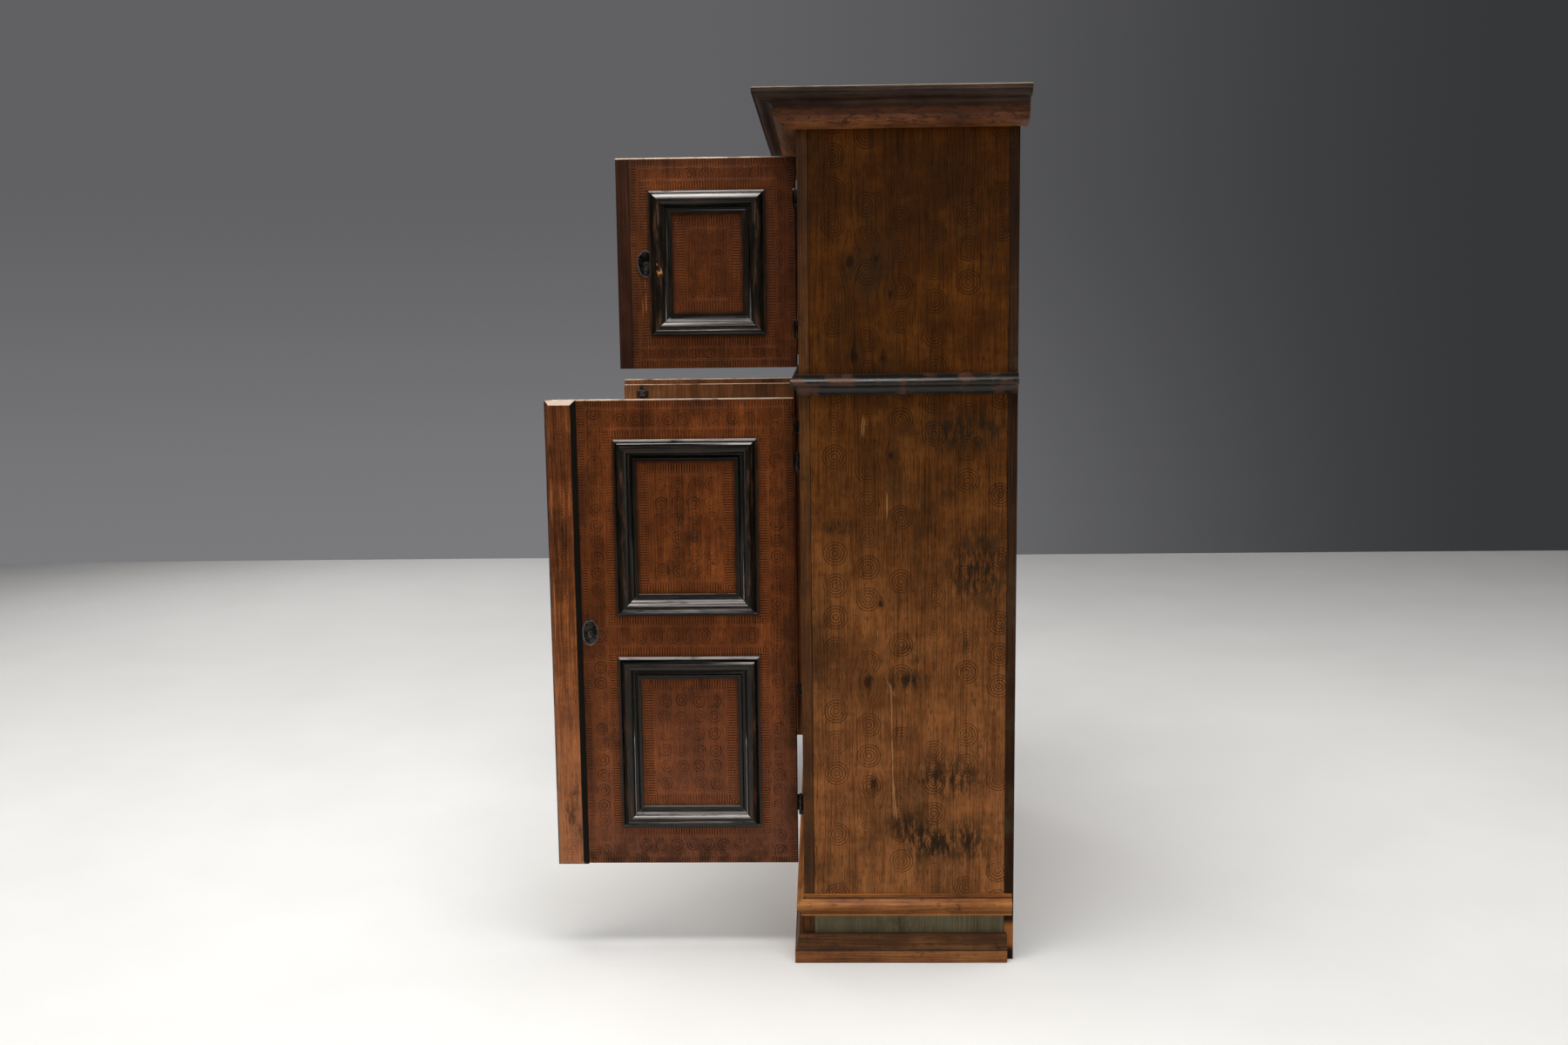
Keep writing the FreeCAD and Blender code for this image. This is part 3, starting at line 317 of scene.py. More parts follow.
class PanelledBoard:
    """Where a point of a painted board lies: from its panel mouldings, from its edges, and along both."""

    def __init__(self, paint, leaf, frames, across, free_trim):
        low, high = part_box(leaf)
        spans = [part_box(node) for node in frames]
        panel = spans[-1]
        self.two_panels = len(spans) > 1
        self.side = paint.axes[across]
        self.height = paint.z
        self.middle = (spans[0][0].z + panel[1].z) / 2
        self.up = abs(paint.z - self.middle) if self.two_panels else paint.z - self.middle
        self.centre = (panel[0][across] + panel[1][across]) / 2
        self.level = (panel[0].z + panel[1].z) / 2 - self.middle
        self.half = (panel[1][across] - panel[0][across]) / 2
        self.tall = (panel[1].z - panel[0].z) / 2
        self.from_sides = abs(self.side - self.centre) - self.half
        self.from_ends = abs(self.up - self.level) - self.tall
        self.outside = self.from_sides.most(self.from_ends)
        self.inside = -MOULD_WIDTH - self.outside
        upright = self.from_sides > self.from_ends
        self.run = upright * paint.z + (1 - upright) * self.side

        start, stop = low[across] + free_trim, high[across]
        edge_sides = (stop - start) / 2 - abs(self.side - (start + stop) / 2)
        edge_ends = (high.z - low.z) / 2 - abs(paint.z - (low.z + high.z) / 2)
        self.border = edge_sides.least(edge_ends)
        upright = edge_sides < edge_ends
        self.border_run = upright * paint.z + (1 - upright) * self.side
        self.side_margin = min(stop - self.centre, self.centre - start) - self.half
        self.end_margin = high.z - panel[1].z


def comb_strokes(paint, board):
    """Short strokes across the borders: outside and inside each moulding, and along the board's edges."""
    waver = 3.6 * MM * (paint.noise(paint.place, 60.0, 3.0, 0.7) - 0.5)
    strokes = paint.rise(((board.run + waver) * (TURN / COMB_PITCH)).cosine(), -0.1, 0.6)
    bands = paint.window(board.outside, 3 * MM, 20 * MM) + paint.window(board.inside, 5 * MM, 26 * MM)
    edge_strokes = paint.rise(((board.border_run + waver) * (TURN / COMB_PITCH)).cosine(), -0.1, 0.6)
    edge_band = paint.window(board.border, 4 * MM, 15 * MM)
    return bands * strokes + edge_band * edge_strokes, bands + edge_band


def scribed_lines(paint, board):
    """Thin scribed lines beside the combed borders."""
    places = [(board.inside, 28.5), (board.inside, 32), (board.outside, 23), (board.outside, 26),
              (board.border, 18), (board.border, 21)]
    total = 0.0
    for value, at in places:
        total = total + paint.line(value, at * MM, 0.9 * MM)
    return total


def stamps(paint, board):
    """Ring stamps in rows in the margins and in a grid inside each moulding."""
    step, row_side = cell(board.height, STAMP, board.middle - STAMP / 2)
    reach = min(STAMP / 2, board.side_margin / 2 - 6 * MM)
    in_side = stamp_rings(paint, distance(board.from_sides - board.side_margin / 2 - 2 * MM, step), reach)
    in_side = in_side * paint.rise(board.from_sides, 22 * MM, 24 * MM)

    step, row_end = cell(board.side, STAMP, board.centre - STAMP / 2)
    to_row = abs(board.from_ends - board.end_margin / 2)
    if board.two_panels:
        to_row = to_row.least(abs(board.up))
    in_end = stamp_rings(paint, distance(to_row, step), STAMP / 2)
    in_end = in_end * paint.rise(board.from_ends, 24 * MM, 26 * MM)
    in_end = in_end * paint.rise(board.from_sides, 9 * MM, 5 * MM)
    margin = paint.rise(board.border, 20 * MM, 21 * MM)

    wide, tall = [2 * (size - MOULD_WIDTH - 34 * MM) for size in (board.half, board.tall)]
    pitch_wide, pitch_tall = [size / max(1, round(size / STAMP)) for size in (wide, tall)]
    step_side, column = cell(board.side, pitch_wide, board.centre - wide / 2)
    step_up, row = cell(board.up, pitch_tall, board.level - tall / 2)
    step_side = step_side + 5 * MM * (paint.chance(column + 31, row) - 0.5)
    step_up = step_up + 5 * MM * (paint.chance(column, row + 53) - 0.5)
    in_field = stamp_rings(paint, distance(step_side, step_up), min(pitch_wide, pitch_tall) / 2)
    in_field = in_field * paint.rise(board.inside, 33 * MM, 34 * MM)
    strength = paint.chance(column + 7 * row_end, row + 5 * row_side)
    return (in_field + margin * (in_side + in_end)) * (0.3 + 0.7 * strength)


def inner_wood(finish, grain):
    return finish.shades(grain.tone(), INNER_DARK, INNER_WOOD, INNER_LIGHT)


def combed_paint(name, leaf, frames, across, free_trim, outward, shade=0.0, edge_strip=False, scuffs=()):
    """Red-brown paint on a board: combed borders, scribed lines and ring stamps round its panels."""
    paint = Finish(name)
    grain = Grain(paint, Z)
    board = PanelledBoard(paint, leaf, frames, across, free_trim)
    low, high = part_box(leaf)
    worn = paint.rise(paint.noise(paint.place, 13.0, 4.0, 0.6), 0.3, 0.62)
    strokes, bands = comb_strokes(paint, board)
    lines = scribed_lines(paint, board)
    rings = stamps(paint, board)

    colour = paint.shades(grain.cloudy_tone(0.24), PAINT_DARK, PAINT_RED, PAINT_GLOW)
    # Paler towards the floor: partly faded paint, partly painted bounce light from the floor.
    colour = paint.mix(0.38 * paint.rise(paint.z, PALE_BELOW, 0.1), colour, PAINT_FADED_AND_FLOOR_LIT)
    colour = paint.mix(0.3 * bands * worn, colour, PAINT_GLOW)
    marks = (strokes + rings) * (0.3 + 0.7 * worn)
    colour = paint.mix(0.85 * marks, colour, PAINT_MARK)
    colour = paint.mix(0.42 * lines * (0.1 + 0.9 * worn), colour, srgb(144, 78, 34))
    colour = paint.mix(0.7 * grain.pores, colour, PAINT_MARK)
    smudge = paint.noise(paint.point(6 * board.side, 3.6 * paint.z), 1.0, 7.0, 0.72)
    colour = paint.mix(0.62 * paint.rise(smudge, 0.55, 0.7), colour, GRIME_AND_SHADE)
    handled = paint.rise(board.border, 55 * MM, 0.0) * paint.rise(grain.blotch, 0.42, 0.6)
    colour = paint.mix(0.6 * handled, colour, GRIME_AND_SHADE)
    if board.two_panels:
        kicked = paint.rise(paint.z, low.z + 120 * MM, low.z) * paint.rise(grain.mottle, 0.46, 0.58)
        colour = paint.mix(0.6 * kicked, colour, GRIME_AND_SHADE)
    speck = paint.rise(paint.noise(paint.place, 210.0, 3.0, 0.7), 0.58, 0.68)
    # Dark specks, and the overall darkening of the upper stage, which is partly painted shade.
    colour = paint.mix(0.5 * speck + shade, colour, PAINT_DARK)
    # Painted shade: the board darkened in a band on each side of the panel mouldings, where they shade
    # it.
    moulding_shadow = paint.rise(abs(board.outside + MOULD_WIDTH / 2), MOULD_WIDTH / 2 + 9 * MM, MOULD_WIDTH / 2)
    colour = paint.mix(0.6 * moulding_shadow * (0.35 + 0.65 * grain.blotch), colour, GRIME_AND_SHADE)
    for (y, z), (wide, tall) in scuffs:
        here = paint.window(paint.y, y - wide, y + wide, 8 * MM)
        here = here * paint.window(paint.z, z - tall, z + tall, 12 * MM)
        scratch = paint.rise(paint.noise(paint.point(320 * paint.y, 12 * paint.z), 1.0, 2.0), 0.56, 0.64)
        colour = paint.mix(0.8 * here * scratch, colour, srgb(176, 104, 52))
    if edge_strip:
        groove = low[across] + PLAIN_EDGE
        plain = paint.rise(board.side, groove - 1 * MM, groove - 3 * MM)
        strip = paint.shades(grain.tone(), srgb(26, 12, 5), srgb(43, 22, 11), srgb(68, 38, 20))
        colour = paint.mix(plain, colour, strip)
        colour = paint.mix(0.8 * paint.line(board.side, groove, 3 * MM), colour, GRIME_AND_SHADE)
        marks = marks * (1 - plain)
    rubbed = paint.worn_edge(1.6 * MM) * paint.rise(grain.blotch, 0.42, 0.58)
    colour = paint.mix(0.5 * rubbed, colour, srgb(150, 88, 42))

    face = max(abs(low[outward]), abs(high[outward]))
    front = paint.rise(abs(paint.axes[outward]), face - 7 * MM, face - 5 * MM)
    colour = paint.mix(front, inner_wood(paint, grain), colour)
    # Painted highlight, with some dust: pale on faces that look up and along the top arris, where the
    # lamp above shines.
    top = paint.upward().most(paint.rise(paint.z, high.z - 3 * MM, high.z - 1.5 * MM))
    colour = paint.mix(0.8 * top * paint.rise(grain.mottle, 0.3, 0.5), colour, srgb(186, 168, 148))
    height = grain.relief() - front * (0.6 * marks + 0.8 * lines)
    roughness = 0.36 + 0.2 * grain.blotch + 0.12 * marks + 0.2 * (1 - front)
    return paint.done(colour, roughness, height, 0.3 * MM, 0.08)


def meeting_strip_paint(name, node):
    """Painted cover strip: warm brown face with ring stamps, black on the bevel towards the panels."""
    paint = Finish(name)
    grain = Grain(paint, Z)
    low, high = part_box(node)
    height = (paint.z - low.z) / (high.z - low.z)
    # Lighter towards the bottom and paler low down: partly worn, faded paint, partly painted bounce light
    # from the floor.
    tone = grain.cloudy_tone() + 0.4 * (0.55 - height)
    colour = paint.shades(tone, PAINT_DARK, srgb(108, 57, 22), srgb(172, 102, 52))
    colour = paint.mix(0.4 * paint.rise(paint.z, PALE_BELOW, 0.1), colour, srgb(172, 120, 90))
    step, number = cell(paint.z, 1.25 * STAMP)
    radius = distance(paint.y - (low.y + high.y) / 2, step)
    faint = paint.rise(paint.noise(paint.place, 8.0, 3.0), 0.36, 0.6) * (0.4 + 0.6 * paint.chance(number))
    rings = stamp_rings(paint, radius, 20 * MM) * faint
    colour = paint.mix(0.5 * rings, colour, PAINT_MARK)
    colour = paint.mix(0.6 * grain.pores, colour, PAINT_MARK)
    smudge = paint.noise(paint.point(15 * paint.y, 5 * paint.z), 1.0, 7.0, 0.72)
    colour = paint.mix(0.75 * paint.rise(smudge, 0.55, 0.7), colour, GRIME_AND_SHADE)
    inner = paint.rise(paint.y, high.y - STRIP_BEVEL - 0.5 * MM, high.y - STRIP_BEVEL + 0.5 * MM)
    outer = paint.rise(paint.y, low.y + 4 * MM, low.y + 2 * MM) * paint.rise(grain.blotch, 0.36, 0.5)
    colour = paint.mix(inner.most(outer), colour, EBONY)
    arris = paint.line(paint.y, low.y + STRIP_BEVEL, 2.2 * MM) * paint.rise(grain.blotch, 0.4, 0.55)
    colour = paint.mix(0.6 * arris, colour, srgb(170, 108, 60))
    rubbed = paint.worn_edge(1.6 * MM) * paint.rise(grain.blotch, 0.45, 0.6)
    colour = paint.mix(0.5 * rubbed, colour, srgb(150, 96, 54))
    # Painted highlight, with some dust: pale on faces that look up.
    top = paint.upward() * paint.rise(grain.mottle, 0.3, 0.5)
    colour = paint.mix(0.75 * top, colour, srgb(182, 168, 152))
    return paint.done(colour, 0.36 + 0.2 * grain.blotch, grain.relief() - 0.5 * rings, 0.35 * MM, 0.12)


# Black mouldings

EBONY = srgb(17, 14, 9)
EBONY_GREY = srgb(40, 38, 28)
EBONY_WORN = srgb(82, 47, 25)


def ebonised_panel(name, node, across, chips=()):
    """Black polish on four mitred lengths, rubbed brown on the round of the upright ones, with a painted
    sheen on the up-facing faces of the level lengths and a painted highlight along the top length's outer
    fillet.
    """
    polish = Finish(name)
    low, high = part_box(node)
    side = polish.axes[across]
    from_sides = abs(side - (low[across] + high[across]) / 2) - (high[across] - low[across]) / 2
    from_ends = abs(polish.z - (low.z + high.z) / 2) - (high.z - low.z) / 2
    outside = from_sides.most(from_ends)
    upright = from_sides > from_ends
    run = upright * polish.z + (1 - upright) * side
    streak = polish.noise(polish.point(9 * run, 420 * outside, 3 * side), 1.0, 3.0, 0.6)
    cloud = polish.noise(polish.point(18 * run, 110 * outside, 2 * polish.z), 1.0, 5.0, 0.68)
    crest = polish.window(outside, -26 * MM, -9 * MM, 5 * MM)
    rubbed = polish.rise(cloud, 0.48, 0.66) * (0.12 + 0.88 * crest) * (0.35 + 0.65 * upright)
    colour = polish.mix(polish.rise(streak, 0.45, 0.85), EBONY, EBONY_GREY)
    colour = polish.mix(0.8 * rubbed, colour, EBONY_WORN)
    edge = polish.worn_edge(1.2 * MM) * polish.rise(cloud, 0.42, 0.6)
    colour = polish.mix(0.5 * edge, colour, srgb(104, 70, 46))
    # Painted sheen: grey on the up-facing faces of the level lengths, standing in for the lamp's
    # reflection.
    painted_sheen = polish.upward(0.1, 0.7) * (1 - upright) * polish.rise(cloud, 0.2, 0.5)
    colour = polish.mix(0.75 * painted_sheen, colour, srgb(140, 134, 131))
    # Painted highlight: a pale line along the outer fillet of the top length.
    middle = (low.z + high.z) / 2
    fillet_highlight = polish.rise(outside, -5 * MM, -3.5 * MM) * (1 - upright) * (polish.z > middle)
    colour = polish.mix(0.8 * fillet_highlight * polish.rise(cloud, 0.25, 0.5), colour, srgb(190, 184, 180))
    bare = 0.0
    for (y, z), (wide, tall) in chips:
        splinter = polish.noise(polish.point(210 * polish.y, 75 * polish.z), 1.0, 2.0)
        here = polish.window(polish.y, y - wide, y + wide, 2 * MM)
        here = here * polish.window(polish.z, z - tall, z + tall, 6 * MM)
        bare = bare + here * polish.rise(splinter, 0.54, 0.6)
    if chips:
        colour = polish.mix(bare, colour, srgb(196, 128, 62))
    roughness = 0.22 + 0.16 * cloud + 0.24 * rubbed
    return polish.done(colour, roughness, 0.5 * streak + 0.5 * cloud - 3 * bare, 0.05 * MM, 0.28)


def ebonised_run(name, along):
    """Black polish on a straight moulding, rubbed brown where it stands out."""
    polish = Finish(name)
    grain = Grain(polish, along)
    worn = polish.rise(polish.noise(polish.place, 19.0, 5.0, 0.68), 0.5, 0.62)
    colour = polish.mix(polish.rise(grain.fibre, 0.45, 0.8), EBONY, EBONY_GREY)
    colour = polish.mix(0.75 * worn, colour, EBONY_WORN)
    edge = polish.worn_edge(1.6 * MM) * polish.rise(grain.blotch, 0.42, 0.58)
    colour = polish.mix(0.6 * edge, colour, srgb(116, 76, 46))
    roughness = 0.28 + 0.2 * grain.blotch + 0.2 * worn
    return polish.done(colour, roughness, grain.relief(), 0.2 * MM, 0.33)


# Plain woods

def knot_marks(board, knots):
    """Dark of the knots, and how far the grain bends round them."""
    dark = 0.0
    bend = 0.0
    ragged = 0.7 * (board.noise(board.place, 55.0, 3.0, 0.6) - 0.5)
    for (y, z), reach in knots:
        across = board.y - y
        away = distance(across, 0.7 * (board.z - z)) / reach + ragged
        dark = dark + 0.75 * board.rise(away, 0.75, 0.2) + 0.35 * board.rise(away, 1.9, 0.5)
        bend = bend - 0.6 * across * board.rise(away, 3.2, 0.4)
    return dark.least(1.0), bend


def smudge_marks(board, smudges):
    """Dark stains that break up into small upright dabs."""
    dark = 0.0
    dabs = board.noise(board.point(85 * board.y, 24 * board.z), 1.0, 6.0, 0.72)
    for (y, z), (wide, tall) in smudges:
        away = distance((board.y - y) / wide, (board.z - z) / tall)
        dark = dark + board.rise(away, 2.1, 0.2)
    return (dark * board.rise(dabs, 0.38, 0.58)).least(1.0)


def scratch_marks(board, scratches):
    """Pale scratches, each a slanting line given by its middle, its slant and its height."""
    pale = 0.0
    wander = 5 * MM * (board.noise(board.point(0.0, 25 * board.z), 1.0, 3.0) - 0.5)
    broken = board.rise(board.noise(board.point(90 * board.y, 16 * board.z), 1.0, 3.0), 0.34, 0.56)
    for (y, z), (slant, tall) in scratches:
        across = board.y - y - (board.z - z) * (slant / tall) + wander
        within = board.window(board.z, z - tall / 2, z + tall / 2, 8 * MM)
        pale = pale + board.line(across, 0.0, 1.7 * MM) * within
    return (pale * broken).least(1.0)


FRIEZE_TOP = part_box("base_moulding_right")[0].z
SIDE_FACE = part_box("side_right")[1].x


def rubbed_side(name, knots, smudges, scratches):
    """Rubbed, faintly stamped softwood: darker and olive above, lighter and warmer below, partly the
    wood's own colour and partly painted shade high up and painted floor bounce light low down; grey paint
    under the base moulding.
    """
    board = Finish(name)
    knot, bend = knot_marks(board, knots)
    grain = Grain(board, Z, bend)
    height = board.z / CAD_BOX[1].z
    # Darker and more olive high up, lighter and warmer low down: partly the wood's colour, partly painted
    # shade above and painted bounce light from the floor below.
    tone = grain.cloudy_tone() + 0.22 * (0.5 - height)
    high_up = board.rise(height, 0.04, 0.8)
    dark = board.mix(high_up, srgb(52, 29, 13), srgb(34, 16, 2))
    middle = board.mix(high_up, srgb(123, 76, 41), srgb(75, 39, 6))
    light = board.mix(high_up, srgb(176, 116, 66), srgb(114, 66, 19))
    colour = board.shades(tone, dark, middle, light)
    smoke = board.rise(board.noise(board.point(5 * board.y, 2.4 * board.z), 1.0, 6.0, 0.66), 0.5, 0.7)
    colour = board.mix(0.7 * smoke, colour, srgb(40, 30, 16))
    step_y, column = cell(board.y, 71 * MM)
    step_z, row = cell(board.z + 31 * MM * column, 70 * MM)
    rings = stamp_rings(board, distance(step_y, step_z), 27 * MM)
    rings = rings * board.rise(board.chance(column, row), 0.2, 0.6)
    rings = rings * board.rise(grain.mottle, 0.38, 0.54)
    colour = board.mix(0.75 * rings, colour, dark)
    colour = board.mix(0.8 * grain.pores, colour, dark)
    colour = board.mix(0.55 * board.rise(grain.fibre, 0.54, 0.7), colour, dark)
    flecks = board.rise(board.noise(board.point(240 * board.y, 16 * board.z, 5.0), 1.0, 2.0), 0.66, 0.76)
    colour = board.mix(0.4 * flecks, colour, light)
    colour = board.mix(0.8 * knot, colour, srgb(24, 13, 8))
    smear = board.noise(board.point(48 * board.y, 13 * board.z, 9.0), 1.0, 6.0, 0.7)
    to_back = 0.35 + 0.65 * board.rise(board.y, -0.3, -0.05)
    colour = board.mix(0.6 * board.rise(smear, 0.54, 0.68) * to_back, colour, srgb(34, 26, 15))
    colour = board.mix(0.9 * smudge_marks(board, smudges), colour, srgb(30, 25, 16))
    colour = board.mix(0.62 * scratch_marks(board, scratches), colour, srgb(176, 132, 84))
    frieze = board.shades(grain.tone(), srgb(68, 62, 47), srgb(99, 91, 69), srgb(124, 114, 88))
    colour = board.mix(board.rise(board.z, FRIEZE_TOP + 1 * MM, FRIEZE_TOP - 1 * MM), colour, frieze)
    colour = board.mix(0.4 * smudge_marks(board, smudges[-1:]), colour, srgb(26, 22, 16))
    low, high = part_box("side_right")
    joint = board.rise(board.y, low.y + 2.2 * MM, low.y + 0.8 * MM)
    joint = joint.most(board.rise(board.y, high.y - 2.2 * MM, high.y - 0.8 * MM))
    colour = board.mix(0.85 * joint, colour, srgb(14, 9, 5))
    inside = board.rise(abs(board.x), SIDE_FACE - 8 * MM, SIDE_FACE - 10 * MM)
    colour = board.mix(inside, colour, inner_wood(board, grain))
    return board.done(colour, 0.44 + 0.22 * grain.blotch, grain.relief() - 0.5 * rings, 0.4 * MM, 0.05)


def soiled(wood, colour):
    soil = wood.rise(wood.noise(wood.place, 20.0, 7.0, 0.72), 0.56, 0.7)
    return wood.mix(0.6 * soil, colour, GRIME_AND_SHADE)


def rubbed_wood(name, along, dark, middle, light, edge_colour=None, figure=0.0, bands=()):
    """Old finished wood along one axis, with grime, pores, rubbed edges and bands of another colour,
    among them a painted highlight and a painted shade on the cornice.
    """
    wood = Finish(name)
    grain = Grain(wood, along)
    colour = wood.shades(grain.tone(), dark, middle, light)
    colour = wood.mix(0.6 * grain.pores, colour, dark)
    if figure:
        stretched = [(22 if axis == along else 75) * wood.axes[axis] for axis in (X, Y, Z)]
        curl = wood.noise(wood.point(*stretched), 1.0, 4.0, 0.62, 1.4)
        colour = wood.mix(figure * wood.rise(curl, 0.5, 0.62), colour, srgb(26, 15, 9))
    colour = soiled(wood, colour)
    edge = wood.worn_edge(1.8 * MM) * wood.rise(grain.blotch, 0.42, 0.56)
    colour = wood.mix(0.6 * edge, colour, edge_colour or light)
    # Bands along the height, in given colours; on the cornice these include a painted highlight and
    # painted shade of the profile.
    for (low, high), share, shade in bands:
        here = wood.window(wood.z, low, high, 0.6 * MM) * (1 - wood.upward())
        patchy = 0.5 + 0.5 * wood.rise(grain.blotch, 0.36, 0.54)
        colour = wood.mix(share * here * patchy, colour, shade)
    return wood.done(colour, 0.38 + 0.2 * grain.blotch, grain.relief(), 0.35 * MM, 0.13)


PLINTH_SLOPE = 28 * MM


def plinth_wood(name, along):
    """Brown plinth: dark on the sloping top, lighter on the upright face."""
    wood = Finish(name)
    grain = Grain(wood, along)
    fascia = wood.shades(grain.tone(), srgb(70, 39, 17), srgb(126, 79, 42), srgb(172, 115, 66))
    slope = wood.shades(grain.tone(), srgb(40, 22, 10), srgb(74, 46, 24), srgb(124, 82, 45))
    above = wood.rise(wood.z, PLINTH_SLOPE - 1 * MM, PLINTH_SLOPE + 1 * MM)
    colour = wood.mix(above, fascia, slope)
    colour = wood.mix(0.6 * grain.pores, colour, GRIME_AND_SHADE)
    colour = soiled(wood, colour)
    edge = wood.worn_edge(1.6 * MM) * wood.rise(grain.blotch, 0.42, 0.58)
    colour = wood.mix(0.5 * edge, colour, srgb(166, 114, 68))
    colour = wood.mix(0.8 * wood.line(wood.z, PLINTH_SLOPE + 1 * MM, 2.5 * MM), colour, GRIME_AND_SHADE)
    return wood.done(colour, 0.4 + 0.2 * grain.blotch, grain.relief(), 0.35 * MM, 0.12)


def bare_softwood(name, along, dark, middle, light):
    """Unpainted board, browned with age and handling."""
    wood = Finish(name)
    grain = Grain(wood, along)
    colour = wood.shades(grain.tone(), dark, middle, light)
    colour = wood.mix(0.6 * grain.pores, colour, dark)
    stain = wood.rise(wood.noise(wood.place, 6.0, 7.0, 0.72), 0.55, 0.72)
    colour = wood.mix(0.5 * stain, colour, srgb(44, 30, 18))
    return wood.done(colour, 0.6 + 0.2 * grain.blotch, grain.relief(), 0.5 * MM, 0.2)


BACK_PLANKS = 5


def back_board_wood(name):
    """Rough back planks, each in its own shade, darkened along the cupboard's outer edges."""
    wood = Finish(name)
    grain = Grain(wood, Z)
    low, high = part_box("back_boards")
    width = (high.x - low.x) / BACK_PLANKS
    from_middle, plank = cell(wood.x, width, low.x)
    tone = grain.tone() + 0.5 * (wood.chance(plank) - 0.5)
    colour = wood.shades(tone, srgb(52, 35, 21), srgb(96, 66, 40), srgb(142, 104, 68))
    colour = wood.mix(0.6 * grain.pores, colour, srgb(40, 26, 16))
    seam = wood.rise(abs(from_middle), width / 2 - 3 * MM, width / 2 - 1 * MM)
    colour = wood.mix(0.8 * seam, colour, srgb(22, 14, 8))
    rim = wood.rise(abs(wood.x), high.x - 9 * MM, high.x - 5 * MM)
    dark_edge = wood.shades(grain.tone(), srgb(24, 13, 5), srgb(44, 26, 12), srgb(70, 44, 22))
    green = wood.rise(wood.noise(wood.place, 7.0, 5.0, 0.65), 0.55, 0.66)
    dark_edge = wood.mix(0.5 * green, dark_edge, srgb(58, 58, 44))
    colour = wood.mix(rim, colour, dark_edge)
    bare = rim * wood.window(wood.z, 30 * MM, 84 * MM, 10 * MM) * wood.rise(grain.blotch, 0.36, 0.5)
    colour = wood.mix(0.85 * bare, colour, srgb(168, 108, 56))
    return wood.done(colour, 0.6 + 0.2 * grain.blotch, grain.relief(), 0.5 * MM, 0.06)


# Iron

def forged_iron(name):
    """Dark hammered iron with brown rust and bright rubbed edges."""
    iron = Finish(name)
    hammer = iron.noise(iron.place, 150.0, 2.0, 0.5)
    speck = iron.noise(iron.place, 620.0, 3.0, 0.6)
    rust = iron.rise(iron.noise(iron.place, 48.0, 5.0, 0.68), 0.5, 0.66)
    colour = iron.mix(iron.rise(hammer, 0.3, 0.7), srgb(30, 27, 24), srgb(66, 61, 56))
    colour = iron.mix(0.8 * rust, colour, srgb(58, 35, 22))
    edge = iron.worn_edge(0.9 * MM) * (1 - rust)
    colour = iron.mix(0.7 * edge, colour, srgb(128, 120, 110))
    iron.feed(iron.shader.inputs["Metallic"], 0.85 - 0.6 * rust)
    return iron.done(colour, 0.34 + 0.3 * rust + 0.1 * speck, 0.8 * hammer + 0.2 * speck, 0.5 * MM)


def handled_iron(name):
    """Iron of the key plates: dark, with pale edges that are partly rubbed bright by hands and partly a
    painted highlight on the rims.
    """
    iron = Finish(name)
    cloud = iron.noise(iron.place, 70.0, 4.0, 0.6)
    speck = iron.noise(iron.place, 500.0, 3.0, 0.6)
    colour = iron.mix(iron.rise(cloud, 0.35, 0.65), srgb(26, 23, 20), srgb(62, 57, 52))
    # Pale, less metallic edges: partly iron rubbed bright, partly a painted highlight on the plate rims.
    edge = iron.worn_edge(1.6 * MM)
    colour = iron.mix(0.9 * edge, colour, srgb(196, 191, 184))
    iron.feed(iron.shader.inputs["Metallic"], (0.9 - 0.3 * iron.rise(cloud, 0.5, 0.7)) * (1 - 0.8 * edge))
    return iron.done(colour, 0.18 + 0.14 * cloud + 0.05 * speck, 0.7 * cloud + 0.3 * speck, 0.15 * MM)


# Dressing the solids

def panel_frames(door):
    kinds = ("low_panel_frame", "high_panel_frame") if "lower" in door else ("panel_frame",)
    return [f"{door}_{kind}" for kind in kinds]


def dress_doors():
    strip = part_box("lower_right_astragal")
    trims = {
        "lower_right": strip[1].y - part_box("lower_right_leaf")[0].y,
        "lower_left": LIP_EDGE,
        "upper_right": PLAIN_EDGE,
        "upper_left": PLAIN_EDGE,
    }
    scuffs = {"upper_right": [((-0.784, 1.475), (17 * MM, 38 * MM))]}
    chips = {"upper_right_panel_frame": [((-0.7625, 1.537), (6 * MM, 15 * MM))]}
    for door in DOORS:
        frames = panel_frames(door)
        leaf = f"{door}_leaf"
        is_upper = "upper" in door
        shade = UPPER_SHADE if is_upper else 0.0
        marks = scuffs.get(door, ())
        paint = combed_paint(f"{door}_paint", leaf, frames, Y, trims[door], X, shade, is_upper, marks)
        dress([leaf], paint)
        for node in frames:
            dress([node], ebonised_panel(f"{node}_polish", node, Y, chips.get(node, ())))
    middle = "centre_panel_frame"
    paint = combed_paint("centre_paint", "centre_panel", [middle], X, 0.0, Y, UPPER_SHADE)
    dress(["centre_panel"], paint)
    dress([middle], ebonised_panel("centre_frame_polish", middle, X))
    dress(["lower_right_astragal"], meeting_strip_paint("meeting_strip_paint", "lower_right_astragal"))


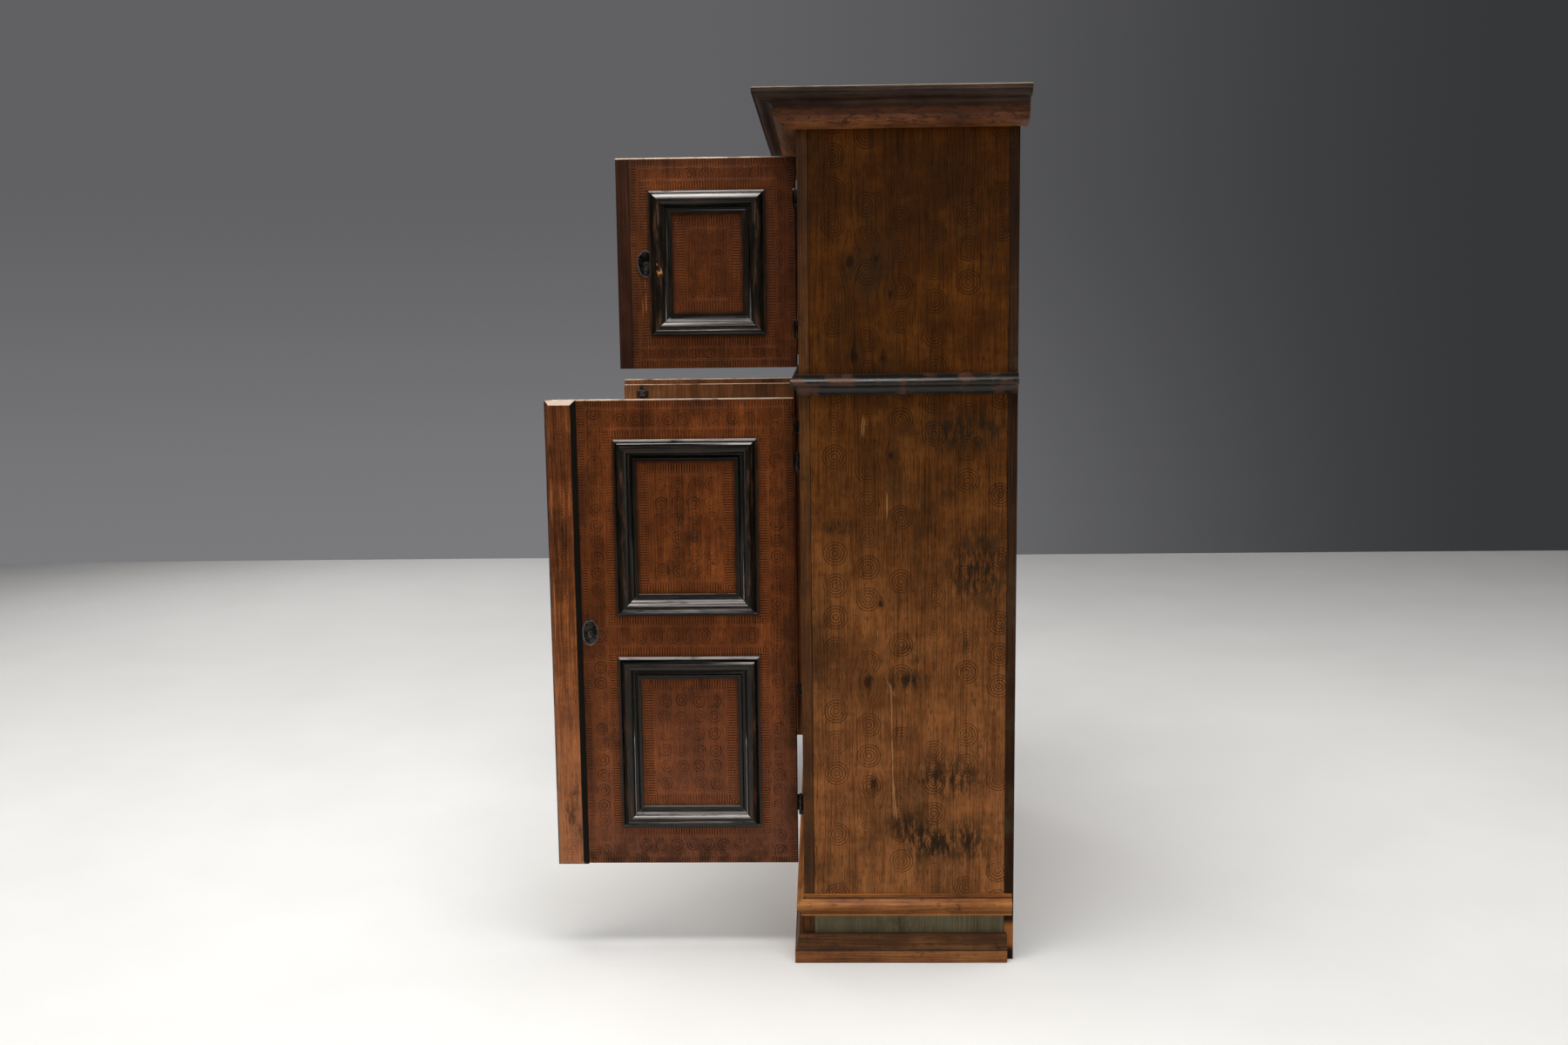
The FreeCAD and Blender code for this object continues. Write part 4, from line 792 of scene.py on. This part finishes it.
def dress_carcass():
    knots = [((-0.270, 1.132), 11 * MM), ((-0.293, 0.810), 9 * MM), ((-0.322, 0.637), 15 * MM),
             ((-0.309, 0.405), 14 * MM), ((-0.355, 1.545), 17 * MM), ((-0.300, 1.548), 10 * MM),
             ((-0.270, 1.475), 10 * MM), ((-0.345, 1.345), 11 * MM), ((-0.287, 1.340), 7 * MM)]
    smudges = [((-0.231, 0.697), (24 * MM, 16 * MM)), ((-0.231, 0.640), (30 * MM, 17 * MM)),
               ((-0.110, 1.183), (85 * MM, 34 * MM)), ((-0.080, 0.880), (60 * MM, 70 * MM)),
               ((-0.236, 0.311), (40 * MM, 34 * MM)), ((-0.194, 0.262), (34 * MM, 30 * MM)),
               ((-0.110, 0.275), (50 * MM, 40 * MM)), ((-0.382, 0.978), (25 * MM, 12 * MM)),
               ((-0.150, 0.420), (70 * MM, 40 * MM)), ((-0.250, 0.083), (40 * MM, 16 * MM))]
    scratches = [((-0.268, 0.480), (-5 * MM, 300 * MM)), ((-0.278, 0.638), (-28 * MM, 62 * MM)),
                 ((-0.262, 0.365), (-6 * MM, 80 * MM)), ((-0.331, 1.195), (3 * MM, 40 * MM)),
                 ((-0.279, 1.006), (2 * MM, 85 * MM)), ((-0.327, 1.193), (2 * MM, 30 * MM)),
                 ((-0.372, 0.660), (2 * MM, 30 * MM)), ((-0.300, 0.735), (3 * MM, 26 * MM))]
    dress(["side_right"], rubbed_side("right_side_wood", knots, smudges, scratches))
    knots = [((-0.150, 1.250), 12 * MM), ((-0.330, 0.960), 10 * MM), ((-0.210, 0.520), 15 * MM),
             ((-0.120, 1.600), 16 * MM), ((-0.340, 1.480), 10 * MM), ((-0.090, 0.300), 9 * MM)]
    smudges = [((-0.300, 0.700), (40 * MM, 30 * MM)), ((-0.140, 0.260), (80 * MM, 40 * MM)),
               ((-0.200, 0.083), (40 * MM, 16 * MM))]
    dress(["side_left"], rubbed_side("left_side_wood", knots, smudges, scratches[:2]))

    frame_tones = (srgb(36, 20, 6), srgb(74, 42, 14), srgb(116, 72, 30))
    dress(["stile_left", "stile_right"], rubbed_wood("stile_wood", Z, *frame_tones))
    dress(["bottom_rail", "waist_rail", "top_rail"], rubbed_wood("rail_wood", X, *frame_tones))
    bare = (srgb(66, 44, 26), srgb(112, 78, 48), srgb(154, 116, 78))
    boards = ["bottom_board", "middle_board", "top_board", "upper_shelf", "lower_shelves"]
    dress(boards, bare_softwood("shelf_wood", X, *bare))
    dress(["shelf_battens"], bare_softwood("batten_wood", Y, *bare))
    dress(["back_boards"], back_board_wood("back_wood"))


def dress_mouldings():
    tones = {
        "base_moulding": (srgb(60, 33, 13), srgb(126, 76, 36), srgb(184, 122, 64)),
        "cornice_bed": (srgb(38, 18, 7), srgb(94, 55, 30), srgb(144, 90, 54)),
        "cornice_crown": (srgb(18, 11, 8), srgb(40, 26, 19), srgb(76, 55, 44)),
    }
    figures = {"cornice_bed": 0.7}
    edges = {"cornice_crown": srgb(128, 98, 66), "base_moulding": srgb(200, 134, 72)}
    kinds = ("cornice_crown", "cornice_bed", "base_moulding")
    crown, bed, base = [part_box(f"{moulding}_right") for moulding in kinds]
    bands = {
        # Crown: a pale line along its top edge, partly chipped wood and partly a painted highlight; a
        # lighter line at its foot.
        "cornice_crown": [((crown[1].z - 1.2 * MM, crown[1].z + 2 * MM), 0.7, srgb(214, 196, 164)),
                          ((crown[0].z + 1 * MM, crown[0].z + 3 * MM), 0.6, srgb(128, 96, 70))],
        # Bed: a dark band along its top, painted shade in its hollow.
        "cornice_bed": [((bed[1].z - 15 * MM, bed[1].z + 2 * MM), 0.6, srgb(52, 24, 8))],
        # Base: a dark line along its groove and a light band along its bottom edge.
        "base_moulding": [((base[1].z - 10 * MM, base[1].z - 7.5 * MM), 0.85, srgb(30, 17, 8)),
                          ((base[0].z - 2 * MM, base[0].z + 3 * MM), 0.7, srgb(206, 130, 62))],
    }
    for along, view, hands in ((X, "front", ["front"]), (Y, "side", ["left", "right"])):
        for moulding, shades in tones.items():
            figure = figures.get(moulding, 0.0)
            edge = edges.get(moulding)
            wood = rubbed_wood(f"{moulding}_wood_{view}", along, *shades, edge, figure, bands[moulding])
            dress([f"{moulding}_{hand}" for hand in hands], wood)
        dress([f"plinth_{hand}" for hand in hands], plinth_wood(f"plinth_wood_{view}", along))
        dress([f"waist_moulding_{hand}" for hand in hands], ebonised_run(f"waist_polish_{view}", along))


def dress_iron(iron, plate_iron):
    kinds = ("straps", "pintles", "lock_case", "lock_bolt", "staples", "top_bolt", "bottom_bolt")
    dress([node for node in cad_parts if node.endswith(kinds)], iron)
    dress([f"{door}_escutcheon" for door in LOCKED_DOORS], plate_iron)


WOOD_EASE = 1.0 * MM
IRON_EASE = 0.5 * MM


def ease_edges():
    """Take the sharp arrises off every solid, as a plane and years of use do."""
    for name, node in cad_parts.items():
        weld = node.modifiers.new("weld", "WELD")
        weld.merge_threshold = 0.005 * MM
        if name.endswith("_leaf"):
            flat = node.modifiers.new("whole_faces", "DECIMATE")
            flat.decimate_type = "DISSOLVE"
            flat.angle_limit = math.radians(0.2)
        ease = node.modifiers.new("eased_edges", "BEVEL")
        ease.width = IRON_EASE if "iron" in node.active_material.name else WOOD_EASE
        ease.segments = 2
        ease.limit_method = "ANGLE"
        ease.angle_limit = math.radians(38)


# Nails, pins, pegs and key posts

dice = random.Random(7)
HEAD_SIDES = 10
HEAD_RINGS = 4
SUNK = 0.6 * MM


def stud(shape, place, outward, radius, height):
    """Add a low hand-made dome on a surface, sunk a little into it."""
    first = outward.orthogonal().normalized()
    second = outward.cross(first)
    radius = radius * dice.uniform(0.88, 1.12)
    wide = dice.uniform(0.9, 1.1)
    twist = dice.uniform(0, TURN)
    rings = []
    for level in range(HEAD_RINGS):
        slope = math.radians(80) * level / (HEAD_RINGS - 1)
        rise = height * math.sin(slope) if level else -SUNK
        ring = []
        for side in range(HEAD_SIDES):
            turn = twist + TURN * side / HEAD_SIDES
            reach = radius * math.cos(slope) * dice.uniform(0.94, 1.06)
            spot = first * (wide * math.cos(turn)) + second * (math.sin(turn) / wide)
            ring.append(shape.verts.new(place + reach * spot + rise * outward))
        rings.append(ring)
    for lower, upper in zip(rings, rings[1:]):
        for side in range(HEAD_SIDES):
            after = (side + 1) % HEAD_SIDES
            shape.faces.new((lower[side], lower[after], upper[after], upper[side]))
    shape.faces.new(rings[-1])
    shape.faces.new(reversed(rings[0]))


def studs(name, body, material, places, outward, radius, height):
    """One piece made of all the nails, pins or pegs of a body that look alike."""
    shape = bmesh.new()
    for place in places:
        stud(shape, Vector(place), Vector(outward), radius, height)
    mesh = bpy.data.meshes.new(name)
    shape.to_mesh(mesh)
    shape.free()
    for face in mesh.polygons:
        face.use_smooth = True
    mesh.materials.append(material)
    piece = bpy.data.objects.new(name, mesh)
    bpy.context.scene.collection.objects.link(piece)
    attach(piece, body)


STRAP_HEIGHT = {"lower": 36 * MM, "upper": 28 * MM}
STRAP_NAILS = (0.34, 0.6, 0.86)
PLANK_NAILS = (0.22, 0.78)
LOCK_INSET = 8 * MM
PIN_LIFT = 21 * MM
POST_SEAT = 4 * MM


def door_side(door):
    """1 for a right-hand door, -1 for a left-hand one: the way its outer face looks along X at rest."""
    return 1 if door.endswith("right") else -1


def inner_face(node, way):
    """Where the face of a door fitting that looks into the cupboard lies along X, at rest."""
    low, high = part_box(node)
    return low.x if way > 0 else high.x


def nail_doors(iron, plate_iron):
    for door in DOORS:
        stage = door.split("_")[0]
        way = door_side(door)
        body = f"{door}_door"
        straps = f"{door}_straps"
        low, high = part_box(straps)
        levels = (low.z + STRAP_HEIGHT[stage] / 2, high.z - STRAP_HEIGHT[stage] / 2)
        spots = [high.y - share * (high.y - low.y) for share in STRAP_NAILS]
        places = [(inner_face(straps, way), y, z) for y in spots for z in levels]
        studs(f"{door}_strap_nails", body, iron, places, (-way, 0, 0), 5 * MM, 2.4 * MM)
    for door in LOCKED_DOORS:
        way = door_side(door)
        body = f"{door}_door"
        case = f"{door}_lock_case"
        low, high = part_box(case)
        across = (low.y + LOCK_INSET, high.y - LOCK_INSET)
        up = (low.z + LOCK_INSET, high.z - LOCK_INSET)
        places = [(inner_face(case, way), y, z) for y in across for z in up]
        studs(f"{door}_lock_nails", body, iron, places, (-way, 0, 0), 4 * MM, 1.8 * MM)
        low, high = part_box(f"{door}_escutcheon")
        key_y = high.y - PLATE_HALF_WIDTH if "lower" in door else low.y + PLATE_HALF_WIDTH
        key_z = (low.z + high.z) / 2
        seat = way * (LEAF_FACE + PLATE_THICKNESS)
        places = [(seat, key_y, key_z + lift) for lift in (-PIN_LIFT, PIN_LIFT)]
        out = (way, 0, 0)
        studs(f"{door}_plate_pins", body, plate_iron, places, out, 2.2 * MM, 1.4 * MM)
        post = [(seat - way * POST_SEAT, key_y, key_z)]
        studs(f"{door}_key_post", body, plate_iron, post, out, 1.9 * MM, 5 * MM)


def nail_carcass(iron):
    low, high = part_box("back_boards")
    width = (high.x - low.x) / BACK_PLANKS
    boards = ("bottom_board", "middle_board", "top_board")
    levels = [sum(corner.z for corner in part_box(board)) / 2 for board in boards]
    places = []
    for plank in range(BACK_PLANKS):
        for share in PLANK_NAILS:
            for level in levels:
                x = low.x + (plank + share) * width + dice.uniform(-8, 8) * MM
                places.append((x, high.y, level + dice.uniform(-5, 5) * MM))
    studs("back_nails", "carcass", iron, places, (0, 1, 0), 4.5 * MM, 1.6 * MM)


def peg_face_frame(wood):
    """Wooden pegs through the tenons of the rails, just proud of the stiles."""
    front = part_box("stile_right")[0].y
    centre = sum(corner.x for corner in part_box("stile_right")) / 2
    levels = [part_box("bottom_rail")[1].z - 22 * MM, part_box("waist_moulding_front")[0].z - 10 * MM,
              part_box("waist_moulding_front")[1].z + 13 * MM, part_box("top_rail")[0].z + 28 * MM]
    places = []
    for way in (-1, 1):
        for level in levels:
            for shift in (-14 * MM, 12 * MM):
                drop = dice.uniform(-3, 3) * MM
                places.append((way * (centre - 8 * MM) + shift, front, level + drop))
    studs("frame_pegs", "carcass", wood, places, (0, -1, 0), 4.6 * MM, 0.2 * MM)


# Stage

FLOOR_DEPTH = 5.1
FLOOR_WIDTH = 8.5
SQUARENESS = 6
FLOOR_POINTS = 180


def add_floor():
    """A pale floor, a rounded square, so that its far edge looks straight from the front and sides."""
    floor = Finish("studio_floor")
    shape = bmesh.new()
    rim = []
    for step in range(FLOOR_POINTS):
        across, along = math.cos(TURN * step / FLOOR_POINTS), math.sin(TURN * step / FLOOR_POINTS)
        size = (abs(across) ** SQUARENESS + abs(along) ** SQUARENESS) ** (1 / SQUARENESS)
        rim.append(shape.verts.new((FLOOR_DEPTH * across / size, FLOOR_WIDTH * along / size, 0)))
    shape.faces.new(rim)
    mesh = bpy.data.meshes.new("floor")
    shape.to_mesh(mesh)
    shape.free()
    mesh.materials.append(floor.material)
    sheet = bpy.data.objects.new("floor", mesh)
    bpy.context.scene.collection.objects.link(sheet)
    mottle = floor.noise(floor.place, 3.0, 4.0)
    pale = floor.mix(mottle, srgb(204, 204, 203), srgb(212, 212, 211))
    floor.done(pale, 0.55 + 0.1 * mottle, mottle, 0.1 * MM)


def add_light(name, place, target, size, power, colour, lights_matt=True, shines=True):
    lamp = bpy.data.lights.new(name, "AREA")
    lamp.shape = "RECTANGLE"
    lamp.size, lamp.size_y = size
    lamp.energy = power
    lamp.color = colour
    holder = bpy.data.objects.new(name, lamp)
    bpy.context.scene.collection.objects.link(holder)
    holder.visible_diffuse = lights_matt
    holder.visible_glossy = shines
    holder.location = place
    holder.rotation_euler = (Vector(target) - Vector(place)).to_track_quat("-Z", "Y").to_euler()


OVERHEAD_WHITE = (1.0, 0.98, 0.95)
FILL_WHITE = (1.0, 0.98, 0.96)
FILLS = {
    "front_fill": ((5.4, 2.2, 3.4), (0.5, -0.5, 0.9), (3.0, 3.0), 55),
    "left_fill": ((-4.6, -3.4, 3.2), (-0.4, -0.5, 1.0), (2.6, 2.6), 90),
    "door_fill": ((0.2, -5.6, 2.4), (0.0, 0.0, 0.9), (2.6, 2.6), 75),
    "back_fill": ((-1.5, 5.2, 3.0), (0.0, 0.0, 1.0), (2.6, 2.6), 60),
}


def add_lights():
    """A soft lamp overhead, fills all round that leave no shine, and a lamp that gives only shine."""
    add_light("overhead", (0.9, -0.6, 4.6), (0.9, -0.6, 0.0), (2.2, 3.0), 306, OVERHEAD_WHITE)
    for name, (place, target, size, power) in FILLS.items():
        add_light(name, place, target, size, power, FILL_WHITE, shines=False)
    add_light("sheen", (2.5, -0.6, 4.2), (0.5, -0.6, 1.0), (1.8, 3.0), 140, FILL_WHITE, lights_matt=False)


ROOM_FILL = srgb(120, 120, 122)
ROOM_GLOSS = srgb(24, 24, 25)
BACKDROP_LEFT = srgb(97, 97, 99)
BACKDROP_RIGHT = srgb(54, 55, 57)
BACKDROP_LOW = srgb(122, 122, 125)


def add_room():
    """An even grey room: soft fill on the wood, a quiet reflection, and a grey backdrop behind it."""
    world = bpy.data.worlds.new("studio")
    bpy.context.scene.world = world
    world.use_nodes = True
    room = Graph(world.node_tree)
    path = room.node("ShaderNodeLightPath")
    towards = room.node("ShaderNodeTexCoord").output("Generated")
    split = room.node("ShaderNodeSeparateXYZ", {}, {0: towards})
    backdrop = room.mix(room.rise(split.output("Z"), 0.1, -0.16), BACKDROP_LEFT, BACKDROP_LOW)
    shaded = room.rise(split.output("Y"), -0.12, 0.42) * room.rise(split.output("Y"), 0.88, 0.6)
    backdrop = room.mix(shaded, backdrop, BACKDROP_RIGHT)
    colour = room.mix(path.output("Is Camera Ray"), ROOM_FILL, backdrop)
    colour = room.mix(path.output("Is Glossy Ray"), colour, ROOM_GLOSS)
    room.feed(room.tree.nodes["Background"].inputs["Color"], colour)


CAMERA_PLACE = Vector((3.816, -0.414, 1.433))
CAMERA_YAW, CAMERA_PITCH, CAMERA_ROLL = (math.radians(angle) for angle in (1.534, 7.84, 0.689))
FOCAL_PIXELS = 1729.3
PHOTO_WIDTH = 1800
SENSOR_WIDTH = 36


def add_camera():
    camera = bpy.data.cameras.new("camera")
    camera.sensor_width = SENSOR_WIDTH
    camera.lens = SENSOR_WIDTH * FOCAL_PIXELS / PHOTO_WIDTH
    holder = bpy.data.objects.new("camera", camera)
    bpy.context.scene.collection.objects.link(holder)
    level = math.cos(CAMERA_PITCH)
    along, aside = math.cos(CAMERA_YAW), math.sin(CAMERA_YAW)
    ahead = -Vector((along * level, aside * level, math.sin(CAMERA_PITCH)))
    right = Vector((-aside, along, 0))
    down = ahead.cross(right)
    rolled_right = math.cos(CAMERA_ROLL) * right + math.sin(CAMERA_ROLL) * down
    rolled_up = math.sin(CAMERA_ROLL) * right - math.cos(CAMERA_ROLL) * down
    turn = Matrix((rolled_right, rolled_up, -ahead)).transposed()
    holder.matrix_world = Matrix.Translation(CAMERA_PLACE) @ turn.to_4x4()
    bpy.context.scene.camera = holder


def main():
    iron = forged_iron("forged_iron")
    plate_iron = handled_iron("key_plate_iron")
    dress_doors()
    dress_carcass()
    dress_mouldings()
    dress_iron(iron, plate_iron)
    ease_edges()
    nail_doors(iron, plate_iron)
    nail_carcass(iron)
    peg_face_frame(rubbed_wood("peg_wood", Y, srgb(30, 17, 8), srgb(58, 35, 18), srgb(92, 60, 34)))
    add_floor()
    add_lights()
    add_room()
    add_camera()
    bpy.context.scene.view_settings.view_transform = "Standard"


main()
